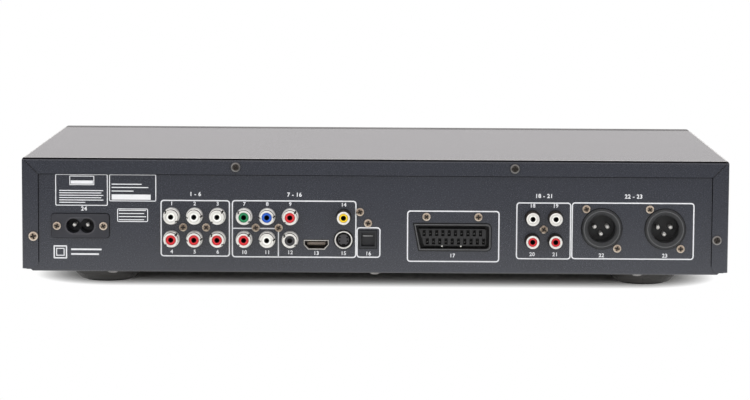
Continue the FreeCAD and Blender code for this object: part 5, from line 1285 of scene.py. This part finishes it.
@dataclass
class BackPrint:
    """Plain frames and figures printed on the back panel, seen from behind with zero in the middle."""

    line: float = 0.72
    corner: float = 2.0
    figure: float = 2.3
    heading: float = 2.5
    frames: tuple[Edges, ...] = (
        (-130.6, 8.8, -88.3, 43.5), (-87.2, 8.5, -11.3, 43.6), (-11.2, 8.7, 3.4, 27.5),
        (19.5, 6.4, 75.8, 37.9), (85.9, 8.4, 119.3, 43.3), (119.6, 8.6, 194.2, 43.5))
    divider: Edges = (-86.5, 8.8, -58.8, 26.3)
    # Count of figures in a row, place of the first, step to the next and height of the row.
    rows: tuple[tuple[int, float, float, float], ...] = (
        (3, -123.8, 14.0, 41.2), (3, -123.8, 14.0, 11.7), (3, -79.6, 14.0, 41.2), (3, -79.6, 14.0, 11.6),
        (1, -35.7, 0.0, 11.3), (1, -19.1, 0.0, 41.0), (1, -19.1, 0.0, 11.3), (1, -4.0, 0.0, 11.2),
        (1, 47.2, 0.0, 10.3), (2, 95.8, 14.0, 41.1), (2, 95.8, 14.0, 11.4), (2, 138.0, 38.6, 11.0))
    headings: tuple[tuple[str, float, float], ...] = (
        ("1 - 6", -109.4, 47.0), ("7 - 16", -49.1, 47.0), ("18 - 21", 102.7, 47.1), ("22 - 23", 157.1, 47.1),
        ("24", -177.2, 37.7))
    # Edges, corner and line of the nested squares and of the boxes.
    boxes: tuple[tuple[Edges, float, float], ...] = (
        ((-195.9, 7.1, -187.6, 15.2), 0.5, 0.8), ((-194.3, 8.8, -189.2, 13.6), 0.0, 0.55),
        ((-194.6, 39.6, -162.7, 58.9), 0.9, 0.5), ((-161.8, 42.4, -133.2, 58.9), 0.9, 0.5),
        ((-157.0, 29.8, -138.2, 38.0), 0.9, 0.5), ((-186.0, 52.2, -170.9, 57.9), 0.3, 0.45))
    # Left edge and thickness of ruled lines, then each line's lower edge and right edge.
    ruled: tuple[tuple[float, float, tuple[Spot, ...]], ...] = (
        (-192.2, 0.5, ((48.6, -165.4), (47.15, -166.7), (45.7, -165.4), (44.25, -166.7), (42.8, -165.4),
                       (41.35, -176.4))),
        (-185.2, 2.0, ((53.0, -171.7),)),
        (-160.3, 0.55, ((52.6, -142.0), (50.6, -138.0), (48.4, -147.0))),
        (-160.3, 3.2, ((43.4, -136.6),)),
        (-156.0, 0.5, ((36.6, -139.4), (34.7, -140.6), (32.8, -139.4), (30.9, -140.6))),
        (-185.2, 1.0, ((12.3, -166.6), (9.4, -168.2))))

    def build(self) -> None:
        """Lays the whole print on the panel."""
        sheet = InkSheet()
        for edges in self.frames:
            sheet.outline(edges, self.corner, self.line)
        left, low, right, high = self.divider
        half = self.line / 2
        sheet.bar(left, high - half, right + half, high + half)
        sheet.bar(right - half, low, right + half, high - half)
        number = 0
        for count, x, step, y in self.rows:
            for place in range(count):
                number += 1
                sheet.number(str(number), x + place * step, y, self.figure)
        for words, x, y in self.headings:
            sheet.number(words, x, y, self.heading)
        for edges, corner, line in self.boxes:
            sheet.outline(edges, corner, line)
        for left, thick, ends in self.ruled:
            for low, right in ends:
                sheet.bar(left, low, right, low + thick)
        panel, top = box_of("rear_panel")[1].y, box_of("top_cover")[1].z
        sheet.lay("back_print", "case", Face.BACK.place(0, panel, top - FIT_TOP))


@dataclass
class SeamShadeAndHighlights:
    """Painted shadow in the seams round the sockets and inside the cover's folded edge, and painted
    highlights on the edges of larger sockets.
    """

    nodes: tuple[str, ...] = ("mains_inlet", "optical_socket", "scart_socket", "xlr_shells")
    highlit: tuple[str, ...] = ("scart_socket", "xlr_shells")
    # Width and clearance of the painted shadow seams, then the inset and width of the painted highlights on
    # the sockets' edges.
    line: float = 0.35
    clear: float = 0.1
    inset: float = 0.5
    edge: float = 0.32
    # Reach of the inlet's mouth from its pins, and width of the painted highlight on its rim.
    inlet_reach: Spot = (10.5, 6.5)
    inlet_rim_highlight: float = 0.9
    # Inset, width and lower end of the painted shadow line inside the cover's folded edge.
    folded: float = 9.9
    folded_line: float = 0.4
    folded_corner: float = 4.0
    # Painted shade on the round picture socket: its place, border, pin holes and key, sunk behind its face.
    round_spot: Spot = (-19.1, 30.6)
    round_r: float = 4.4
    round_band: float = 1.05
    pin_r: float = 0.75
    pin_share: float = 0.98
    pin_circle: float = 2.6
    pin_angles: tuple[float, ...] = (150.0, 30.0, -20.0, -160.0)
    key: Edges = (-1.0, -3.35, 1.0, -2.65)
    sunk: float = 0.3

    def build(self) -> None:
        """Lays the painted shadow seams on the panel and the painted highlight edges on the sockets."""
        panel = box_of("rear_panel")[1].y
        # Painted shadow in the seams round the sockets and under the cover's folded edge.
        seam_shadows = InkSheet(WELL_SHADE)
        for node in self.nodes:
            for solid in solids_of(node):
                seam_shadows.seam(self._shape(solid, panel + self.clear), self.line)
        self._mouth(seam_shadows)
        seam_shadows.lay("socket_seam_shadows", "case", Face.BACK.place(0, panel, 0))
        # Painted highlights along the inner edges of the larger sockets.
        for node in self.highlit:
            front = box_of(node)[1].y
            edges = InkSheet(EDGE_HIGHLIGHT)
            for solid in solids_of(node):
                edges.seam(self._shape(solid, front - TOUCH), self.edge, self.inset)
            edges.lay(node + "_edge", "case", Face.BACK.place(0, front, 0))
        self._inlet()
        self._round()

    def _shape(self, solid: Solid, start: float) -> list[Spot]:
        """Points of a solid behind a given depth, as the print sees them."""
        return [(-dot.x, dot.z) for dot in solid if dot.y > start]

    def _mouth(self, sheet: InkSheet) -> None:
        """Adds the painted shadow line along the three inner sides of the cover's folded edge.

        Args:
            sheet: Sheet that gets the line.
        """
        low, high = box_of("top_cover")
        half, top = high.x - self.folded, high.z - self.folded
        under = top - self.folded_line
        sheet.bar(-half, under, half, top)
        for left in (-half, half - self.folded_line):
            sheet.bar(left, low.z + self.folded_corner, left + self.folded_line, under)

    def _inlet(self) -> None:
        """Lays a painted highlight on the rim round the mouth of the mains inlet."""
        front = box_of("mains_inlet")[1].y
        centre = middle_of("mains_pins")
        mouth = [(x, z) for solid in solids_of("mains_inlet") for x, z in self._shape(solid, front - TOUCH)
                 if abs(x + centre.x) < self.inlet_reach[0] and abs(z - centre.z) < self.inlet_reach[1]]
        rim = InkSheet(INLET_HIGHLIGHT)
        rim.seam(mouth, self.inlet_rim_highlight)
        rim.lay("inlet_rim_highlight", "case", Face.BACK.place(0, front, 0))

    def _round(self) -> None:
        """Paints shade on the border, the pin holes and the key of the round picture socket."""
        x, z = self.round_spot
        front = max(dot.y for solid in solids_of("jack_inserts_black") for dot in solid
                    if math.hypot(dot.x + x, dot.z - z) < self.round_r)
        border, holes = InkSheet(WELL_SHADE), InkSheet(WELL_SHADE)
        border.ring(0.0, 0.0, self.round_r, self.round_band)
        border.lay("round_socket_border_shade", "case", Face.BACK.place(-x, front, z))
        for turn in map(math.radians, self.pin_angles):
            reach = self.pin_circle * math.cos(turn), self.pin_circle * math.sin(turn)
            holes.ring(*reach, self.pin_r, self.pin_r * self.pin_share)
        holes.bar(*self.key)
        holes.lay("round_socket_hole_shade", "case", Face.BACK.place(-x, front - self.sunk, z))


@dataclass(frozen=True)
class KeySign:
    """Sign on one key: filled shapes and bars about the key's middle, and a broken ring on some."""

    node: str
    body: str
    bars: tuple[Edges, ...]
    shapes: tuple[tuple[Spot, ...], ...] = ()
    # Outer radius, line and half of the opening.
    ring: Size | None = None

    def build(self) -> None:
        """Lays the sign on its key."""
        sheet = InkSheet()
        for shape in self.shapes:
            sheet.patch(shape)
        if self.ring:
            sheet.ring(0.0, 0.0, *self.ring)
        for edges in self.bars:
            sheet.bar(*edges)
        centre, front = middle_of(self.node), box_of(self.node)[0].y
        sheet.lay(self.node + "_sign", self.body, Face.FRONT.place(centre.x, front, centre.z))


@dataclass
class FrontPrint:
    """Dial figures and key signs on the front, which the photo doesn't show."""

    knobs: tuple[str, ...] = ("knob_mic_1", "knob_mic_2", "knob_echo")
    dial_r: float = 13.2
    tick: float = 1.5
    line: float = 0.5
    sweep: float = 150.0
    ticks: int = 11
    figure: float = 2.2
    figure_out: float = 1.7
    figure_turn: float = 142.0
    jack_figures: tuple[float, ...] = (-150.0, -112.0)
    signs: tuple[KeySign, ...] = (
        KeySign("play_button", "play_key", ((1.2, -1.6, 2.0, 1.6), (2.9, -1.6, 3.7, 1.6)),
                (((-4.0, -1.6), (-1.0, 0.0), (-4.0, 1.6)),)),
        KeySign("stop_button", "stop_key", ((-1.5, -1.5, 1.5, 1.5),)),
        KeySign("skip_rocker", "skip_key", ((-17.0, -1.5, -16.3, 1.5), (16.3, -1.5, 17.0, 1.5)),
                (((-11.0, 1.5), (-13.6, 0.0), (-11.0, -1.5)), ((-13.6, 1.5), (-16.2, 0.0), (-13.6, -1.5)),
                 ((11.0, -1.5), (13.6, 0.0), (11.0, 1.5)), ((13.6, -1.5), (16.2, 0.0), (13.6, 1.5)))),
        KeySign("open_close_button", "open_key", ((-2.0, -1.5, 2.0, -0.8),),
                (((-2.0, -0.2), (2.0, -0.2), (0.0, 2.0)),)),
        KeySign("power_button", "power_key", ((-0.25, 0.4, 0.25, 2.9),), ring=(2.4, 0.5, 32.0)))

    def build(self) -> None:
        """Lays the dials and signs."""
        sheet = InkSheet()
        for node in self.knobs:
            self._dial(sheet, middle_of(node))
        for number, spot in enumerate(self.jack_figures, 1):
            sheet.number(str(number), spot, middle_of("mic_jacks").z, self.figure)
        sheet.lay("front_print", "case", Face.FRONT.place(0, box_of("front_panel")[0].y, 0))
        for sign in self.signs:
            sign.build()

    def _dial(self, sheet: InkSheet, centre: Vector) -> None:
        """Adds the ticks and end figures of one knob.

        Args:
            sheet: Sheet that gets them.
            centre: Middle of the knob.
        """
        for step in range(self.ticks):
            turn = math.radians(-self.sweep + 2 * self.sweep * step / (self.ticks - 1))
            across = Vector((math.cos(turn), -math.sin(turn))) * self.line / 2
            along = Vector((math.sin(turn), math.cos(turn)))
            inner, outer = along * self.dial_r, along * (self.dial_r + self.tick)
            corners = (inner - across, inner + across, outer + across, outer - across)
            sheet.patch([(centre.x + dot.x, centre.z + dot.y) for dot in corners])
        reach = self.dial_r + self.tick + self.figure_out
        for words, side in (("0", -1), ("10", 1)):
            turn = math.radians(side * self.figure_turn)
            x, z = centre.x + reach * math.sin(turn), centre.z + reach * math.cos(turn)
            sheet.number(words, x, z, self.figure)


@dataclass
class KnobFaces:
    """Pointer lines and bright caps of the three knobs."""

    knobs: tuple[tuple[str, str], ...] = (("knob_mic_1", "mic_knob_1"), ("knob_mic_2", "mic_knob_2"),
                                          ("knob_echo", "echo_knob"))
    pointer: Edges = (-0.55, 5.2, 0.55, 8.4)
    sunk: float = 0.45
    cap: tuple[Spot, ...] = ((0.0, 0.0), (4.0, 0.0), (4.0, 0.16), (3.7, 0.32), (2.0, 0.4), (0.0, 0.4))
    steps: int = 32
    smooth: float = 30.0

    def build(self) -> None:
        """Lays a pointer and a cap on each knob."""
        for node, body in self.knobs:
            centre, front = middle_of(node), box_of(node)[0].y
            mark = InkSheet()
            mark.bar(*self.pointer)
            mark.lay(node + "_pointer", body, Face.FRONT.place(centre.x, front + self.sunk, centre.z))
            cap = turned(self.cap, self.steps)
            cap.transform(Face.FRONT.place(centre.x, front, centre.z))
            finished(node + "_cap", cap, body, CAP_ALUMINIUM, self.smooth)


@dataclass
class SocketContacts:
    """Small metal contacts in the picture and scart sockets, the scart's blades with painted shade, and the
    ridge on the optical shutter with a painted highlight.
    """

    soft_share: float = 0.3
    soft_steps: int = 2
    strip: Size = (0.42, 5.0, 0.16)
    strip_back: float = 2.7
    strip_pitch: float = 1.0
    strips: int = 10
    scart: Spot = (-47.1, 32.5)
    slots: int = 10
    slot_pitch: float = 3.81
    row_pitch: float = 5.08
    blade: Size = (1.1, 2.4, 0.45)
    blade_back: float = 2.6
    blade_drop: float = 0.5
    stud: tuple[Spot, ...] = ((0.0, 0.0), (0.55, 0.0), (0.55, 7.95), (0.33, 8.2), (0.0, 8.2))
    stud_back: float = 8.6
    stud_drop: float = 5.45
    stud_steps: int = 16
    studs: tuple[float, ...] = (-40.8, -52.3)
    ridge: Size = (6.0, 0.5, 0.45)
    ridge_out: float = 0.2
    ridge_rise: float = 1.8

    def build(self) -> None:
        """Adds the contacts of the flat and the scart socket, and the shutter's ridge with its painted
        highlight.
        """
        self._tongue()
        self._scart()
        # The shutter's ridge carries a painted highlight.
        centre, front = middle_of("optical_shutter"), box_of("optical_shutter")[1].y
        ridge = self._bar(self.ridge, (centre.x, front + self.ridge_out, centre.z + self.ridge_rise))
        finished("shutter_ridge_highlight", ridge, "shutter", SHUTTER_HIGHLIGHT)

    def _bar(self, size: Size, centre: Size) -> BMesh:
        """Makes a small bar with soft edges.

        Args:
            size: Its three sides.
            centre: Its middle.

        Returns:
            The bar.
        """
        bar = block(size, centre)
        soft = min(size) * self.soft_share
        bmesh.ops.bevel(bar, geom=list(bar.edges), offset=soft, segments=self.soft_steps, profile=0.5,
                        affect="EDGES", material=-1)
        return bar

    def _tongue(self) -> None:
        """Adds the strips on the flat socket's tongue."""
        low, high = box_of("hdmi_tongue")
        mesh = bmesh.new()
        for step in range(self.strips):
            x = (low.x + high.x) / 2 + (step - (self.strips - 1) / 2) * self.strip_pitch
            for z in (low.z, high.z):
                stamp(mesh, self._bar(self.strip, (x, high.y - self.strip_back, z)), Matrix())
        finished("tongue_contacts", mesh, "case", GOLD)

    def _scart(self) -> None:
        """Adds a blade with painted shade to each scart slot and two studs to its groove."""
        middle, height = self.scart
        mouth = box_of("scart_socket")[1].y
        mesh = bmesh.new()
        for row in range(2):
            for step in range(self.slots):
                x = middle + (step - (self.slots - row) / 2) * self.slot_pitch
                z = height + (row - 0.5) * self.row_pitch - self.blade_drop
                blade = self._bar(self.blade, (x, mouth - self.blade_back, z))
                # The blades take the darker finish as painted shade.
                stamp(mesh, painted(blade, Coat.SHADE), Matrix())
        for x in self.studs:
            place = Face.BACK.place(x, mouth - self.stud_back, height - self.stud_drop)
            stamp(mesh, turned(self.stud, self.stud_steps), place)
        finished("scart_contacts", mesh, "case", SILVER, others=(BLADE_SHADE,))


@dataclass
class Studio:
    """Pale floor, soft light and the camera of the photograph; its room is in metres."""

    focal: float = 2802.86
    tilt: float = -6.286
    yaw: float = 0.287
    roll: float = -0.326
    eye: Size = (8.398, 230.790, -1693.274)
    photo_width: float = 750.0
    sensor: float = 36.0
    view_range: Spot = (0.05, 60.0)
    floor_half: float = 6.0
    floor_colour: Colour = (0.88, 0.86, 0.81)
    floor_roughness: float = 0.9
    floor_specular: float = 0.1
    shadow_inset: Spot = (0.058, 0.076)
    shadow_reach: float = 0.056
    shadow_power: float = 3.7
    dim_reach: Spot = (0.12, 0.66)
    dim: float = 0.95
    daylight: float = 0.55
    ceiling_heights: Spot = (0.18, 0.5)
    ceiling: float = 0.75
    warm_heights: Spot = (0.0, 0.15)
    warm: Colour = (1.03, 0.985, 0.975)
    aim: Size = (0.0, 0.0, 0.04)
    # Name, place, side and power of each lamp.
    lamps: tuple[tuple[str, Size, float, float], ...] = (
        ("overhead", (0.0, 0.3, 2.2), 2.4, 60.0), ("key", (1.0, 2.3, 0.8), 1.2, 16.0),
        ("fill", (-1.4, 2.0, 0.8), 1.2, 14.0), ("front", (0.3, -2.0, 1.6), 1.6, 22.0))

    def camera(self) -> None:
        """Puts the camera where the fit to the photograph places it."""
        top = box_of("top_cover")[1]
        roll, tilt, yaw = (Matrix.Rotation(math.radians(angle), 3, axis)
                           for angle, axis in ((self.roll, "Z"), (self.tilt, "X"), (self.yaw, "Y")))
        right, up, ahead = (Vector((-row[0], -row[2], row[1])) for row in roll @ tilt @ yaw)
        data = bpy.data.cameras.new("photo_camera")
        data.sensor_width = self.sensor
        data.lens = self.focal * self.sensor / self.photo_width
        data.clip_start, data.clip_end = self.view_range
        made = added("photo_camera", data)
        place = Vector((-self.eye[0], top.y - self.eye[2], top.z + self.eye[1] - FIT_TOP)) * MM
        made.matrix_world = Matrix.Translation(place) @ Matrix((right, up, -ahead)).transposed().to_4x4()
        bpy.context.scene.camera = made

    def floor(self) -> None:
        """Lays the floor, which stays white and keeps the shadow."""
        mesh = bmesh.new()
        bmesh.ops.create_grid(mesh, x_segments=2, y_segments=2, size=self.floor_half)
        data = bpy.data.meshes.new("floor")
        mesh.to_mesh(data)
        mesh.free()
        material = bpy.data.materials.new("floor_white")
        surface = Surface(material)
        surface.set(Base_Color=self.floor_colour, Roughness=self.floor_roughness)
        surface.set(Specular_IOR_Level=self.floor_specular)
        spot = surface.place()
        sides = []
        for axis, half, inset in zip("XY", CAD_BOX[1][:2], self.shadow_inset):
            reach = surface.maths("ABSOLUTE", surface.part(spot, axis))
            past = surface.maths("SUBTRACT", reach, half - inset)
            sides.append(surface.maths("POWER", surface.maths("MAXIMUM", past, 0.0), 2.0))
        away = surface.maths("SQRT", surface.maths("ADD", *sides))
        far = surface.maths("POWER", surface.spread(away, 0.0, self.shadow_reach), self.shadow_power)
        fade = surface.spread(away, *self.dim_reach, 0.0, self.dim)
        dim = surface.times(surface.ray("Is Glossy Ray"), fade)
        glow = surface.add("ShaderNodeEmission", Color=WHITE, Strength=surface.maths("SUBTRACT", 1.0, dim))
        share = surface.times(surface.surround_ray(), far)
        mix = surface.add("ShaderNodeMixShader", share, surface.shader.outputs[0], glow.outputs[0])
        surface.fill(surface.tree.nodes["Material Output"].inputs["Surface"], mix.outputs[0])
        data.materials.append(material)
        added("floor", data)

    def sky(self) -> None:
        """Sets a white surround with a greyer and warmer ceiling."""
        world = bpy.data.worlds.new("studio")
        bpy.context.scene.world = world
        world.use_nodes = True
        graph = Graph(world.node_tree)
        base = graph.tree.nodes["Background"]
        graph.fill(base.inputs["Color"], WHITE)
        graph.fill(base.inputs["Strength"], self.daylight)
        height = graph.part(graph.add("ShaderNodeTexCoord").outputs["Generated"], "Z")
        tone = graph.spread(height, *self.ceiling_heights, 1.0, self.ceiling)
        warmth = graph.times(graph.spread(height, *self.warm_heights), graph.ray("Is Glossy Ray"))
        shown = graph.add("ShaderNodeBackground", Color=graph.mixed(warmth, WHITE, self.warm), Strength=tone)
        mix = graph.add("ShaderNodeMixShader", graph.surround_ray(), base.outputs[0], shown.outputs[0])
        graph.fill(graph.tree.nodes["World Output"].inputs["Surface"], mix.outputs[0])

    def lamp(self, name: str, place: Size, side: float, power: float) -> None:
        """Adds a soft lamp that faces the machine.

        Args:
            name: Name of the lamp.
            place: Its place.
            side: Side of its square.
            power: Its power in watts.
        """
        data = bpy.data.lights.new(name, "AREA")
        data.size = side
        data.energy = power
        made = added(name, data)
        turn = (Vector(self.aim) - Vector(place)).to_track_quat("-Z", "Y")
        made.matrix_world = Matrix.Translation(place) @ turn.to_matrix().to_4x4()
        made.visible_glossy = False

    def build(self) -> None:
        """Sets up the whole studio."""
        bpy.context.scene.view_settings.view_transform = "Standard"
        self.floor()
        self.sky()
        for lamp in self.lamps:
            self.lamp(*lamp)
        self.camera()


def main() -> None:
    """Builds the looks of the machine."""
    logging.basicConfig(level=logging.INFO, format="%(name)s: %(message)s")
    Studio().build()
    dress_nodes()
    for assembly in (Fasteners(), PhonoShells(), ContactHoleShade(), SeamShadeAndHighlights(), BackPrint(), FrontPrint(),
                     KnobFaces(), SocketContacts()):
        assembly.build()


if __name__ == "__main__":
    main()
